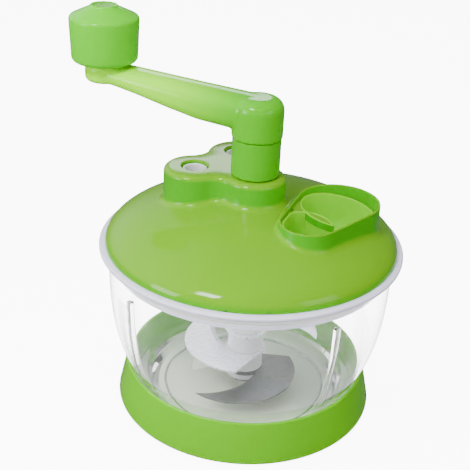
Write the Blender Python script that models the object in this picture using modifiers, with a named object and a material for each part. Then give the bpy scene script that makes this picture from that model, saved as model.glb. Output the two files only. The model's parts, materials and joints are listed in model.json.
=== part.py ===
"""Hand-cranked garlic chopper: base, clear bowl, three sickle blades, geared lid, crank and knob.

Metres, +Z up. The origin is on the crank axis, on the surface that the base plate stands on.
"""

from math import acos, atan2, cos, hypot, pi, radians, sin, sqrt, tan

import bmesh
import bpy
from mathutils import Vector

# Clearances and finish
FIT = 0.0003
CUT_OVERRUN = 0.002
JOIN_OVERLAP = 0.0006
MERGE_DISTANCE = 0.00001
ROUND_STEPS = 40
MIDDLE_ROUND_STEPS = 24
SMALL_ROUND_STEPS = 16
PIN_STEPS = 12
SHARP_ANGLE = radians(32)

# Base: green ring around a white non-slip plate
BASE_PLATE_THICKNESS = 0.003
BASE_PLATE_EDGE_ROUND = 0.0008
BASE_PLATE_PROUD = 0.0006
RING_HEIGHT = 0.026
RING_WALL = 0.0021
RING_FLARE = 0.0054
RING_FOOT_ROUND = 0.0018
RING_RIM_ROUND = 0.0007
RING_LIP_REACH = 0.004
RING_LIP_THICKNESS = 0.002

# Bowl
BOWL_RIM_RADIUS = 0.0843
BOWL_HEIGHT = 0.0998
BOWL_DRAW_IN = 0.0295
BOWL_CURVE_POWER = 3.2
BOWL_WALL = 0.0024
BOWL_FLOOR_THICKNESS = 0.0026
BOWL_FOOT_HEIGHT = 0.003
BOWL_FOOT_WIDTH = 0.004
BOWL_FLOOR_FILLET = 0.006
BOWL_RIM_ROUND = 0.0006
BOWL_BOSS_RADIUS = 0.0065
BOWL_BOSS_HEIGHT = 0.0035
BOWL_CURVE_ROWS = 7
RIB_COUNT = 4
RIB_ANGLE = radians(-53)
RIB_TOP_WIDTH = 0.0042
RIB_FOOT_WIDTH = 0.0012
RIB_DEPTH = 0.003
RIB_TOP_DROP = 0.014
RIB_FOOT_RISE = 0.014
RIB_ROWS = 5
RIB_END_SHARE = 0.25

# Pivot pin that the blade spindle turns on
PIVOT_RADIUS = 0.0025
PIVOT_SEAT_DEPTH = 0.0028
PIVOT_LENGTH = 0.030
PIN_TIP_CHAMFER = 0.0005

# Blade spindle and blades
SPINDLE_RADIUS = 0.010
SPINDLE_STEM_FLATS = 0.012
SPINDLE_DRIVE_FLATS = 0.010
SPINDLE_DRIVE_LENGTH = 0.0115
SPINDLE_TOP_CHAMFER = 0.0015
BLADE_FOOT_RADIUS = 0.012
BLADE_FOOT_HEIGHT = 0.0039
BLADE_FOOT_ROUND = 0.0008
BLADE_COUNT = 3
BLADE_THICKNESS = 0.0012
BLADE_PITCH = 0.0135
BLADE_EYE_RADIUS = 0.0125
BLADE_BACK_RADIUS = 0.037
BLADE_BACK_CENTRE_X = -0.005
BLADE_BACK_CENTRE_Y = -0.005
BLADE_BACK_START = radians(25)
BLADE_HOLLOW_RADIUS = 0.0355
BLADE_HOLLOW_CENTRE_X = -0.027
BLADE_HOLLOW_CENTRE_Y = 0.002
BLADE_BEVEL = 0.003
BLADE_EDGE_THICKNESS = 0.0003
BLADE_BACK_STEPS = 14
BLADE_HOLLOW_STEPS = 9
BLADE_EYE_STEPS = 10
SPACER_RADIUS = 0.011

# Tray: the white underside of the lid, whose rim shows between the dome and the bowl
TRAY_RIM_RADIUS = 0.090
TRAY_RIM_THICKNESS = 0.0028
TRAY_RIM_ROUND = 0.0012
TRAY_SKIRT_WALL = 0.002
TRAY_SKIRT_DEPTH = 0.010
TRAY_SKIRT_FOOT_HEIGHT = 0.0025
TRAY_SLEEVE_WALL = 0.0022
TRAY_SLEEVE_DEPTH = 0.0045
SEAL_HEIGHT = 0.0035
SEAL_WIDTH = 0.0017

# Dome
DOME_RADIUS = 0.0864
DOME_HEIGHT = 0.0282
DOME_SHOULDER_POWER = 1.5
DOME_WALL = 0.0022
DOME_ROWS = 10
CAVITY_ROWS = 6
PILLAR_RADIUS = 0.0042
SCREW_CIRCLE_RADIUS = 0.070
SCREW_COUNT = 4
SCREW_START_ANGLE = radians(45)
SCREW_RADIUS = 0.0015
SCREW_LENGTH = 0.009
SCREW_HEAD_RADIUS = 0.0034
SCREW_HEAD_HEIGHT = 0.002
SCREW_HEAD_TOP_SHARE = 0.7

# Three-lobed gear housing on the dome
LOBE_MIDDLE_ANGLE = radians(138)
LOBE_SPREAD = radians(60)
LOBE_RADIUS = 0.0183
LOBE_WAIST_RADIUS = 0.012
HOUSING_HEIGHT = 0.042
HOUSING_WALL = 0.0022
HOUSING_EDGE_ROUND = 0.0035
HOUSING_FOOT_FILLET = 0.0035
LOBE_HOLE_LIP_ROUND = 0.0012
LOBE_ARC_STEPS = 9
WAIST_ARC_STEPS = 4
ROUNDING_STEPS = 2

# Hopper: a pear-shaped collar round a chute of two bores that run into each other
CHUTE_GEAR_SPACE = 0.0015
CHUTE_ANGLE = radians(-3)
CHUTE_RADIUS = 0.021
POCKET_BORE_REACH = 0.0413
POCKET_BORE_ANGLE = radians(-38)
POCKET_BORE_RADIUS = 0.0123
CHUTE_WALL = 0.0013
CHUTE_TAPER = 0.0018
CHUTE_LENGTH_BELOW_TRAY = 0.006
CHUTE_FLANGE_REACH = 0.0012
CHUTE_FLANGE_THICKNESS = 0.0015
CHUTE_LIP_HEIGHT = 0.0009
CHUTE_ARC_STEPS = 18
POCKET_BORE_ARC_STEPS = 9
COLLAR_NARROW_REACH = 0.0458
COLLAR_NARROW_ANGLE = radians(-47)
COLLAR_NARROW_RADIUS = 0.0168
COLLAR_LEDGE = 0.0003
COLLAR_WALL = 0.0013
COLLAR_HEIGHT = 0.029
COLLAR_RIM_ROUND = 0.0005
COLLAR_FOOT_FILLET = 0.0035
COLLAR_FLOOR_DEPTH = 0.0064
COLLAR_FLOOR_SLOPE = 0.14
COLLAR_ARC_STEPS = 16
COLLAR_NARROW_ARC_STEPS = 7

# Gear train: crank gear, two compound counter gears, output gear
GEAR_MODULE = 0.002
PRESSURE_ANGLE = radians(20)
GEAR_BACKLASH = 0.0004
DRIVE_TEETH = 24
COUNTER_UPPER_TEETH = 12
COUNTER_LOWER_TEETH = 16
OUTPUT_TEETH = 20
TIP_HEIGHT_SHARE = 0.8
ROOT_DEPTH_SHARE = 1.05
GEAR_FACE = 0.0065
GEAR_LAYER_SPACE = 0.0016
GEAR_FLOOR_SPACE = 0.0014
GEAR_HUB_WALL = 0.003
JOURNAL_RADIUS = 0.0072
JOURNAL_WALL = 0.0016
JOURNAL_TOP_DROP = 0.0014
AXLE_RADIUS = 0.003
AXLE_BOSS_RADIUS = 0.0055
AXLE_SEAT_DEPTH = 0.0026
AXLE_ABOVE_GEAR = 0.0032
OUTPUT_HUB_RADIUS = 0.0095
OUTPUT_BUSH_WALL = 0.0022
BUSH_FLANGE_REACH = 0.002
BUSH_FLANGE_THICKNESS = 0.001
CLIP_THICKNESS = 0.0011
CLIP_GROOVE_DEPTH = 0.001
CLIP_REACH = 0.0026
CLIP_END_LIP = 0.001
WASHER_REACH = 0.004

# Crank
SHAFT_FLATS = 0.010
SHAFT_PILOT_RADIUS = 0.0045
SHAFT_PILOT_LENGTH = 0.0034
SHAFT_IN_ARM = 0.012
CRANK_BUSH_WALL = 0.002
CRANK_BUSH_DEPTH = 0.0055
CRANK_GAP = 0.0006
HUB_RADIUS = 0.0141
HUB_HEIGHT = 0.022
HUB_EDGE_ROUND = 0.0008
ELBOW_RADIUS = 0.0147
ELBOW_HEIGHT = 0.0235
ELBOW_ROUND = 0.0095
CRANK_REACH = 0.098
CRANK_ANGLE = radians(159)
ARM_END_RADIUS = 0.0118
ARM_END_HEIGHT = 0.011
ARM_END_RISE = 0.0045
ARM_END_ROUND = 0.003
ARM_WIDTH_AT_HUB = 0.0265
ARM_WIDTH_AT_KNOB = 0.0205
ARM_DEPTH_AT_HUB = 0.0205
ARM_DEPTH_SHARES = ((0.0, 1.0), (0.35, 0.97), (0.55, 0.83), (0.75, 0.66), (0.9, 0.56), (1.0, 0.54))
ARM_CORNER_POWER = 3.6
ARM_SECTION_POINTS = 16
ARM_ROWS = 6

# Knob
KNOB_GAP = 0.0008
KNOB_FOOT_RADIUS = 0.0194
KNOB_SHOULDER_RADIUS = 0.0205
KNOB_SIDE_HEIGHT = 0.026
KNOB_CONE_HEIGHT = 0.007
KNOB_TOP_RADIUS = 0.0079
KNOB_FOOT_ROUND = 0.003
KNOB_SHOULDER_ROUND = 0.0022
KNOB_TOP_ROUND = 0.0008
KNOB_RECESS_WALL = 0.0014
KNOB_RECESS_DEPTH = 0.0045
KNOB_CAP_THICKNESS = 0.0024
KNOB_PIN_RADIUS = 0.003
KNOB_PIN_SEAT_DEPTH = 0.007
KNOB_PIN_HEAD_RADIUS = 0.0045
KNOB_PIN_HEAD_HEIGHT = 0.0011

GREEN_LID = (0.31, 0.57, 0.03)
GREEN_BASE = (0.24, 0.58, 0.03)
GREEN_KNOB = (0.28, 0.60, 0.13)
GREEN_CRANK = (0.35, 0.74, 0.07)
WHITE_PLASTIC = (0.80, 0.80, 0.84)
CLEAR_PLASTIC = (0.93, 0.95, 0.95)
STEEL = (0.62, 0.63, 0.65)


# Heights and places worked out from the sizes above

BOWL_FOOT_Z = BASE_PLATE_THICKNESS + FIT
BOWL_FLOOR_UNDER_Z = BOWL_FOOT_Z + BOWL_FOOT_HEIGHT
BOWL_FLOOR_Z = BOWL_FLOOR_UNDER_Z + BOWL_FLOOR_THICKNESS
BOWL_RIM_Z = BOWL_FOOT_Z + BOWL_HEIGHT
BOWL_BOSS_Z = BOWL_FLOOR_Z + BOWL_BOSS_HEIGHT
PIVOT_FOOT_Z = BOWL_BOSS_Z - PIVOT_SEAT_DEPTH + FIT

TRAY_UNDER_Z = BOWL_RIM_Z + FIT
TRAY_TOP_Z = TRAY_UNDER_Z + TRAY_RIM_THICKNESS
BOWL_INNER_RIM_RADIUS = BOWL_RIM_RADIUS - BOWL_WALL
TRAY_SKIRT_RADIUS = BOWL_INNER_RIM_RADIUS - SEAL_WIDTH - FIT - FIT
DOME_FOOT_Z = TRAY_TOP_Z + FIT
HOUSING_TOP_Z = DOME_FOOT_Z + HOUSING_HEIGHT
COLLAR_TOP_Z = DOME_FOOT_Z + COLLAR_HEIGHT

LOWER_GEAR_Z = TRAY_TOP_Z + GEAR_FLOOR_SPACE + FIT
LOWER_GEAR_TOP_Z = LOWER_GEAR_Z + GEAR_FACE
UPPER_GEAR_Z = LOWER_GEAR_TOP_Z + GEAR_LAYER_SPACE
UPPER_GEAR_TOP_Z = UPPER_GEAR_Z + GEAR_FACE
SLEEVE_FOOT_Z = TRAY_UNDER_Z - TRAY_SLEEVE_DEPTH
CLIP_TOP_Z = SLEEVE_FOOT_Z - FIT
CLIP_UNDER_Z = CLIP_TOP_Z - CLIP_THICKNESS
OUTPUT_HUB_FOOT_Z = CLIP_UNDER_Z - FIT - CLIP_END_LIP
OUTPUT_SLEEVE_RADIUS = OUTPUT_HUB_RADIUS + FIT + OUTPUT_BUSH_WALL
LOBE_REACH = GEAR_MODULE * (DRIVE_TEETH + COUNTER_UPPER_TEETH) / 2
DRIVE_TIP_RADIUS = GEAR_MODULE * (DRIVE_TEETH / 2 + TIP_HEIGHT_SHARE)
JOURNAL_TOP_Z = HOUSING_TOP_Z - JOURNAL_TOP_DROP
CRANK_BUSH_LOW_Z = HOUSING_TOP_Z - CRANK_BUSH_DEPTH
DRIVE_HUB_TOP_Z = CRANK_BUSH_LOW_Z - FIT

BLADE_SET_Z = BOWL_BOSS_Z + FIT
FIRST_BLADE_Z = BLADE_SET_Z + BLADE_FOOT_HEIGHT + FIT
SPINDLE_SHOULDER_Z = FIRST_BLADE_Z + BLADE_PITCH * (BLADE_COUNT - 1) + BLADE_THICKNESS + FIT
SPINDLE_TOP_Z = OUTPUT_HUB_FOOT_Z - FIT - CLIP_END_LIP
SPINDLE_DRIVE_TOP_Z = SPINDLE_TOP_Z + SPINDLE_DRIVE_LENGTH
STEM_REACH = SPINDLE_STEM_FLATS / sqrt(3)

CRANK_FOOT_Z = HOUSING_TOP_Z + CRANK_GAP
HUB_TOP_Z = CRANK_FOOT_Z + HUB_HEIGHT
ELBOW_FOOT_Z = HUB_TOP_Z + FIT
ELBOW_TOP_Z = ELBOW_FOOT_Z + ELBOW_HEIGHT
SHAFT_REACH = SHAFT_FLATS / sqrt(3)
SHAFT_TOP_Z = ELBOW_FOOT_Z + SHAFT_IN_ARM
ARM_END_TOP_Z = ELBOW_TOP_Z + ARM_END_RISE
ARM_END_UNDER_Z = ARM_END_TOP_Z - ARM_END_HEIGHT
KNOB_FOOT_Z = ARM_END_TOP_Z + KNOB_GAP
KNOB_SHOULDER_Z = KNOB_FOOT_Z + KNOB_SIDE_HEIGHT
KNOB_TOP_Z = KNOB_SHOULDER_Z + KNOB_CONE_HEIGHT
KNOB_RECESS_Z = KNOB_TOP_Z - KNOB_RECESS_DEPTH


def polar(distance, angle):
    """Point at a distance and angle from the crank axis, as x and y."""
    return distance * cos(angle), distance * sin(angle)


COUNTER_ANGLES = {
    "counter_front": LOBE_MIDDLE_ANGLE + LOBE_SPREAD / 2,
    "counter_back": LOBE_MIDDLE_ANGLE - LOBE_SPREAD / 2,
}
COUNTER_PLACES = {name: polar(LOBE_REACH, angle) for name, angle in COUNTER_ANGLES.items()}
KNOB_PLACE = polar(CRANK_REACH, CRANK_ANGLE)
CHUTE_REACH = DRIVE_TIP_RADIUS + CHUTE_GEAR_SPACE + CHUTE_WALL + CHUTE_RADIUS
CHUTE_PLACE = polar(CHUTE_REACH, CHUTE_ANGLE)
POCKET_BORE_PLACE = polar(POCKET_BORE_REACH, POCKET_BORE_ANGLE)
COLLAR_NARROW_PLACE = polar(COLLAR_NARROW_REACH, COLLAR_NARROW_ANGLE)
COLLAR_RADIUS = CHUTE_RADIUS + CHUTE_WALL + FIT + COLLAR_LEDGE + COLLAR_WALL
SCREW_ANGLES = [SCREW_START_ANGLE + 2 * pi * step / SCREW_COUNT for step in range(SCREW_COUNT)]
SCREW_PLACES = [polar(SCREW_CIRCLE_RADIUS, angle) for angle in SCREW_ANGLES]


def bowl_radius(height):
    """Outer radius of the bowl at a height above the table."""
    fall = max(0.0, (BOWL_RIM_Z - height) / BOWL_HEIGHT)
    return BOWL_RIM_RADIUS - BOWL_DRAW_IN * fall ** BOWL_CURVE_POWER


def dome_z(distance, inset=0.0):
    """Height of the dome's skin at a distance from the axis; inset gives its inner side."""
    share = min(1.0, distance / (DOME_RADIUS - inset))
    return DOME_FOOT_Z + (DOME_HEIGHT - inset) * sqrt(1 - share ** DOME_SHOULDER_POWER)


RING_MOUTH_RADIUS = bowl_radius(RING_HEIGHT) + FIT
RING_TOP_RADIUS = RING_MOUTH_RADIUS + RING_WALL
RING_FOOT_RADIUS = RING_TOP_RADIUS + RING_FLARE
BASE_PLATE_RADIUS = RING_FOOT_RADIUS - RING_WALL - FIT


# Modelling tools

def fresh_scene():
    """Removes what the scene holds and makes one collection for the parts and one for the cutters."""
    for old in list(bpy.data.objects):
        bpy.data.objects.remove(old, do_unlink=True)
    for old in list(bpy.data.collections):
        bpy.data.collections.remove(old)
    made = []
    for name in ("garlic_chopper", "cutters"):
        collection = bpy.data.collections.new(name)
        bpy.context.scene.collection.children.link(collection)
        made.append(collection)
    return made


PARTS, CUTTERS = fresh_scene()


def principled(name, colour, roughness, metallic=0.0, transmission=0.0):
    """A plain material for one object."""
    material = bpy.data.materials.new(name)
    material.use_nodes = True
    shader = material.node_tree.nodes["Principled BSDF"]
    shader.inputs["Base Color"].default_value = (*colour, 1.0)
    shader.inputs["Roughness"].default_value = roughness
    shader.inputs["Metallic"].default_value = metallic
    shader.inputs["Transmission Weight"].default_value = transmission
    material.diffuse_color = (*colour, 1.0)
    return material


def axis_empty(name, place=(0.0, 0.0), parent=None):
    """An empty on a joint's axis, which carries the pieces that move together."""
    empty = bpy.data.objects.new(name, None)
    PARTS.objects.link(empty)
    empty.empty_display_size = HUB_RADIUS
    empty.location = (*place, 0.0)
    if parent:
        hang_on(empty, parent)
    return empty


def hang_on(obj, parent):
    """Parents an object and keeps it where it is."""
    obj.parent = parent
    steps_up = Vector((0.0, 0.0, 0.0))
    while parent:
        steps_up += parent.location
        parent = parent.parent
    obj.location -= steps_up


def part(name, obj, carrier, colour, roughness, metallic=0.0, transmission=0.0):
    """Names a finished shape as a part, gives it its material and hangs it on its carrier."""
    obj.name = name
    obj.data.name = name
    obj.data.materials.clear()
    obj.data.materials.append(principled(name, colour, roughness, metallic, transmission))
    obj.data.shade_smooth()
    obj.data.set_sharp_from_angle(angle=SHARP_ANGLE)
    CUTTERS.objects.unlink(obj)
    PARTS.objects.link(obj)
    obj.hide_render = False
    obj.display_type = "TEXTURED"
    hang_on(obj, carrier)
    return obj


def tool(name, mesh, place=(0.0, 0.0)):
    """Puts a mesh among the cutters, standing on an axis at a place."""
    obj = bpy.data.objects.new(name, mesh)
    CUTTERS.objects.link(obj)
    obj.location = (*place, 0.0)
    obj.hide_render = True
    obj.display_type = "WIRE"
    return obj


def turned(name, profile, place=(0.0, 0.0), steps=ROUND_STEPS):
    """Turns a profile of (radius, height) points, listed down its outer side, about an upright axis."""
    mesh = bpy.data.meshes.new(name)
    points = [(radius, 0.0, height) for radius, height in profile]
    edges = [(step, step + 1) for step in range(len(points) - 1)]
    if profile[0][0] > 0 or profile[-1][0] > 0:
        edges.append((len(points) - 1, 0))
    mesh.from_pydata(points, edges, [])
    obj = tool(name, mesh, place)
    screw = obj.modifiers.new("Turn", "SCREW")
    screw.steps = steps
    screw.render_steps = steps
    screw.use_merge_vertices = True
    screw.merge_threshold = MERGE_DISTANCE
    screw.use_smooth_shade = True
    return solid_mesh(obj)


def solid_mesh(obj):
    """Replaces an object's curve or modifiers by the mesh they make, with its seams welded."""
    evaluated = obj.evaluated_get(bpy.context.evaluated_depsgraph_get())
    mesh = bpy.data.meshes.new_from_object(evaluated)
    shape = bmesh.new()
    shape.from_mesh(mesh)
    bmesh.ops.remove_doubles(shape, verts=shape.verts, dist=MERGE_DISTANCE)
    bmesh.ops.recalc_face_normals(shape, faces=shape.faces)
    shape.to_mesh(mesh)
    shape.free()
    name = obj.name
    place = (obj.location.x, obj.location.y)
    bpy.data.objects.remove(obj)
    return tool(name, mesh, place)


def plate(name, outlines, low, high, place=(0.0, 0.0)):
    """A flat plate between two heights from one outline and any holes in it."""
    curve = bpy.data.curves.new(name, "CURVE")
    curve.dimensions = "2D"
    curve.fill_mode = "BOTH"
    curve.extrude = (high - low) / 2
    for outline in outlines:
        spline = curve.splines.new("POLY")
        spline.points.add(len(outline) - 1)
        for point, (x, y) in zip(spline.points, outline):
            point.co = (x, y, 0.0, 1.0)
        spline.use_cyclic_u = True
    obj = bpy.data.objects.new(name, curve)
    CUTTERS.objects.link(obj)
    flat = solid_mesh(obj)
    for vertex in flat.data.vertices:
        vertex.co.z += (low + high) / 2
    flat.location = (*place, 0.0)
    return flat


def loft(name, rings, place=(0.0, 0.0)):
    """A closed solid through rings of equal point counts, from the lowest ring to the highest."""
    shape = bmesh.new()
    rows = [[shape.verts.new(point) for point in ring] for ring in rings]
    count = len(rows[0])
    for lower, upper in zip(rows, rows[1:]):
        for step in range(count):
            after = (step + 1) % count
            shape.faces.new((lower[step], lower[after], upper[after], upper[step]))
    for row in (rows[0], rows[-1]):
        shape.faces.new(row)
    bmesh.ops.recalc_face_normals(shape, faces=shape.faces)
    mesh = bpy.data.meshes.new(name)
    shape.to_mesh(mesh)
    shape.free()
    return tool(name, mesh, place)


def combine(obj, other, operation):
    """Adds a Boolean step with another solid."""
    step = obj.modifiers.new(other.name, "BOOLEAN")
    step.operation = operation
    step.solver = "EXACT"
    step.object = other
    return obj


def join(obj, *others):
    """Unites solids with a part."""
    for other in others:
        combine(obj, other, "UNION")
    return obj


def cut(obj, *others):
    """Cuts solids out of a part."""
    for other in others:
        combine(obj, other, "DIFFERENCE")
    return obj


def circle(radius, steps=SMALL_ROUND_STEPS, centre=(0.0, 0.0)):
    """Points round a circle."""
    places = [polar(radius, 2 * pi * step / steps) for step in range(steps)]
    return [(centre[0] + x, centre[1] + y) for x, y in places]


def hexagon(across_flats):
    """Points of a hexagon, given its size across the flats."""
    return circle(across_flats / sqrt(3), steps=6)


def quarter(centre, radius, start, end, steps=ROUNDING_STEPS):
    """Profile points of a rounding between two angles."""
    turn = (end - start) / steps
    return [
        (centre[0] + radius * cos(start + step * turn), centre[1] + radius * sin(start + step * turn))
        for step in range(steps + 1)
    ]


def rod(name, radius, low, high, place=(0.0, 0.0), chamfer=0.0, steps=SMALL_ROUND_STEPS):
    """A round bar with optional chamfered ends."""
    if chamfer > 0.0:
        profile = [
            (0.0, high),
            (radius - chamfer, high),
            (radius, high - chamfer),
            (radius, low + chamfer),
            (radius - chamfer, low),
            (0.0, low),
        ]
        return turned(name, profile, place, steps)
    shape = bmesh.new()
    sizes = {"radius1": radius, "radius2": radius, "depth": high - low}
    bmesh.ops.create_cone(shape, cap_ends=True, segments=steps, **sizes)
    bmesh.ops.translate(shape, verts=shape.verts, vec=(0.0, 0.0, (low + high) / 2))
    mesh = bpy.data.meshes.new(name)
    shape.to_mesh(mesh)
    shape.free()
    return tool(name, mesh, place)


def ring(name, outer, inner, low, high, place=(0.0, 0.0), steps=SMALL_ROUND_STEPS):
    """A plain ring."""
    return turned(name, [(outer, high), (outer, low), (inner, low), (inner, high)], place, steps)


# Base

def make_base(root):
    """The green ring and the white plate that it is closed with."""
    foot_z = BASE_PLATE_PROUD
    lip_z = BASE_PLATE_THICKNESS + FIT
    lip_top_z = lip_z + RING_LIP_THICKNESS
    plate_room_radius = BASE_PLATE_RADIUS + FIT
    lip_radius = plate_room_radius - RING_LIP_REACH
    rim_centre = (RING_TOP_RADIUS - RING_RIM_ROUND, RING_HEIGHT - RING_RIM_ROUND)
    foot_centre = (RING_FOOT_RADIUS - RING_FOOT_ROUND, foot_z + RING_FOOT_ROUND)
    profile = [(RING_MOUTH_RADIUS, RING_HEIGHT)]
    profile += quarter(rim_centre, RING_RIM_ROUND, pi / 2, 0.0, steps=1)
    profile += quarter(foot_centre, RING_FOOT_ROUND, 0.0, -pi / 3)
    profile += [
        (plate_room_radius, foot_z),
        (plate_room_radius, lip_z),
        (lip_radius, lip_z),
        (lip_radius, lip_top_z),
        (plate_room_radius, lip_top_z + RING_WALL),
    ]
    part("base_ring", turned("base_ring", profile), root, GREEN_BASE, 0.32)
    edge = BASE_PLATE_EDGE_ROUND
    plate_profile = [
        (0.0, BASE_PLATE_THICKNESS),
        (BASE_PLATE_RADIUS, BASE_PLATE_THICKNESS),
        (BASE_PLATE_RADIUS, edge),
        (BASE_PLATE_RADIUS - edge, 0.0),
        (0.0, 0.0),
    ]
    part("base_plate", turned("base_plate", plate_profile), root, WHITE_PLASTIC, 0.5)


# Bowl

def bowl_profile():
    """The bowl's section: floor, wall, rim and foot."""
    foot_radius = bowl_radius(BOWL_FOOT_Z)
    heights = [BOWL_RIM_Z - BOWL_HEIGHT * step / BOWL_CURVE_ROWS for step in range(BOWL_CURVE_ROWS + 1)]
    inner_low_z = BOWL_FLOOR_Z + BOWL_FLOOR_FILLET
    inner_heights = [height for height in heights if height > inner_low_z]
    inner_wall = [(bowl_radius(height) - BOWL_WALL, height) for height in reversed(inner_heights[1:])]
    corner_radius = bowl_radius(inner_low_z) - BOWL_WALL
    corner_centre = (corner_radius - BOWL_FLOOR_FILLET, inner_low_z)
    rim = BOWL_RIM_ROUND
    profile = [(0.0, BOWL_FLOOR_Z)]
    profile += quarter(corner_centre, BOWL_FLOOR_FILLET, -pi / 2, 0.0)
    profile += inner_wall
    profile += [
        (BOWL_INNER_RIM_RADIUS, BOWL_RIM_Z - rim),
        (BOWL_INNER_RIM_RADIUS + rim, BOWL_RIM_Z),
        (BOWL_RIM_RADIUS - rim, BOWL_RIM_Z),
        (BOWL_RIM_RADIUS, BOWL_RIM_Z - rim),
    ]
    profile += [(bowl_radius(height), height) for height in heights[1:]]
    profile += [
        (foot_radius - BOWL_FOOT_WIDTH, BOWL_FOOT_Z),
        (foot_radius - BOWL_FOOT_WIDTH, BOWL_FLOOR_UNDER_Z),
        (0.0, BOWL_FLOOR_UNDER_Z),
    ]
    return profile


def bowl_rib(angle):
    """An upright mixing rib inside the bowl, widest at its round top and drawn out to a point."""
    top_z = BOWL_RIM_Z - RIB_TOP_DROP
    foot_z = BOWL_FLOOR_Z + RIB_FOOT_RISE
    rings = []
    for row in range(RIB_ROWS + 1):
        rise = row / RIB_ROWS
        height = foot_z + (top_z - foot_z) * rise
        half_width = (RIB_FOOT_WIDTH + (RIB_TOP_WIDTH - RIB_FOOT_WIDTH) * rise) / 2
        swell = RIB_END_SHARE if row in (0, RIB_ROWS) else 1.0
        wall_radius = bowl_radius(height) - BOWL_WALL
        inner = wall_radius - RIB_DEPTH * swell
        edge = wall_radius - RIB_DEPTH * RIB_END_SHARE / 2
        outer = wall_radius + BOWL_WALL / 3
        corners = [
            (inner, -half_width / 2),
            (inner, half_width / 2),
            (edge, half_width),
            (outer, half_width),
            (outer, -half_width),
            (edge, -half_width),
        ]
        rings.append([
            (along * cos(angle) - across * sin(angle), along * sin(angle) + across * cos(angle), height)
            for along, across in corners
        ])
    return loft("bowl_rib", rings)


def make_bowl(root):
    """The clear bowl with its ribs, and the steel pin in its boss."""
    bowl = turned("bowl", bowl_profile())
    for rib in range(RIB_COUNT):
        join(bowl, bowl_rib(RIB_ANGLE + 2 * pi * rib / RIB_COUNT))
    seat_z = BOWL_BOSS_Z - PIVOT_SEAT_DEPTH
    join(bowl, rod("bowl_boss", BOWL_BOSS_RADIUS, BOWL_FLOOR_Z - BOWL_FLOOR_THICKNESS / 2, BOWL_BOSS_Z))
    cut(bowl, rod("pin_seat", PIVOT_RADIUS + FIT, seat_z, BOWL_BOSS_Z + CUT_OVERRUN, steps=PIN_STEPS))
    part("bowl", bowl, root, CLEAR_PLASTIC, 0.05, transmission=0.9)
    pin_top = PIVOT_FOOT_Z + PIVOT_LENGTH
    pin = rod("pivot_pin", PIVOT_RADIUS, PIVOT_FOOT_Z, pin_top, chamfer=PIN_TIP_CHAMFER, steps=PIN_STEPS)
    part("pivot_pin", pin, root, STEEL, 0.25, metallic=1.0)


# Blades

def crossing(first, first_radius, second, second_radius, side):
    """Point where two circles cross, left (1) or right (-1) of the line from the first to the second."""
    between = second - first
    along = (first_radius ** 2 - second_radius ** 2 + between.length_squared) / (2 * between.length)
    across = sqrt(max(0.0, first_radius ** 2 - along ** 2))
    ahead = between.normalized()
    return first + ahead * along + Vector((-ahead.y, ahead.x)) * across * side


def arc(centre, radius, start, turn, steps):
    """Points along an arc, its ends included."""
    places = [polar(radius, start + turn * step / steps) for step in range(steps + 1)]
    return [(centre[0] + x, centre[1] + y) for x, y in places]


def blade_outline(bevel):
    """The sickle seen from above, its hollow edge drawn back by a bevel: back, tip, hollow edge and eye."""
    back_centre = Vector((BLADE_BACK_CENTRE_X, BLADE_BACK_CENTRE_Y))
    hollow_centre = Vector((BLADE_HOLLOW_CENTRE_X, BLADE_HOLLOW_CENTRE_Y))
    hollow_radius = BLADE_HOLLOW_RADIUS + bevel
    eye_centre = Vector((0.0, 0.0))
    tip = crossing(back_centre, BLADE_BACK_RADIUS, hollow_centre, hollow_radius, 1)
    neck = crossing(eye_centre, BLADE_EYE_RADIUS, hollow_centre, hollow_radius, 1)
    at_back = tip - back_centre
    back_turn = atan2(at_back.y, at_back.x) - BLADE_BACK_START
    back = arc(back_centre, BLADE_BACK_RADIUS, BLADE_BACK_START, back_turn, BLADE_BACK_STEPS)
    from_tip = tip - hollow_centre
    from_neck = neck - hollow_centre
    hollow_start = atan2(from_tip.y, from_tip.x)
    hollow_turn = atan2(from_neck.y, from_neck.x) - hollow_start
    hollow = arc(hollow_centre, hollow_radius, hollow_start, hollow_turn, BLADE_HOLLOW_STEPS)
    root = Vector(back[0])
    touch = atan2(root.y, root.x) + acos(BLADE_EYE_RADIUS / root.length)
    eye_start = atan2(neck.y, neck.x)
    eye = arc(eye_centre, BLADE_EYE_RADIUS, eye_start, touch - 2 * pi - eye_start, BLADE_EYE_STEPS)
    return back + hollow[1:] + eye[1:]


def make_blade(name, carrier, low, turn):
    """A flat steel sickle with a ground hollow edge and a hexagonal hole for the stem."""
    def level(outline, height):
        return [
            (x * cos(turn) - y * sin(turn), x * sin(turn) + y * cos(turn), height) for x, y in outline
        ]

    sharp = blade_outline(0.0)
    ground = blade_outline(BLADE_BEVEL)
    rings = [
        level(sharp, low),
        level(sharp, low + BLADE_EDGE_THICKNESS),
        level(ground, low + BLADE_THICKNESS),
    ]
    blade = loft(name, rings)
    hole = plate(
        name + "_hole",
        [hexagon(SPINDLE_STEM_FLATS + 2 * FIT)],
        low - CUT_OVERRUN,
        low + BLADE_THICKNESS + CUT_OVERRUN,
    )
    cut(blade, hole)
    return part(name, blade, carrier, STEEL, 0.22, metallic=1.0)


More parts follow.
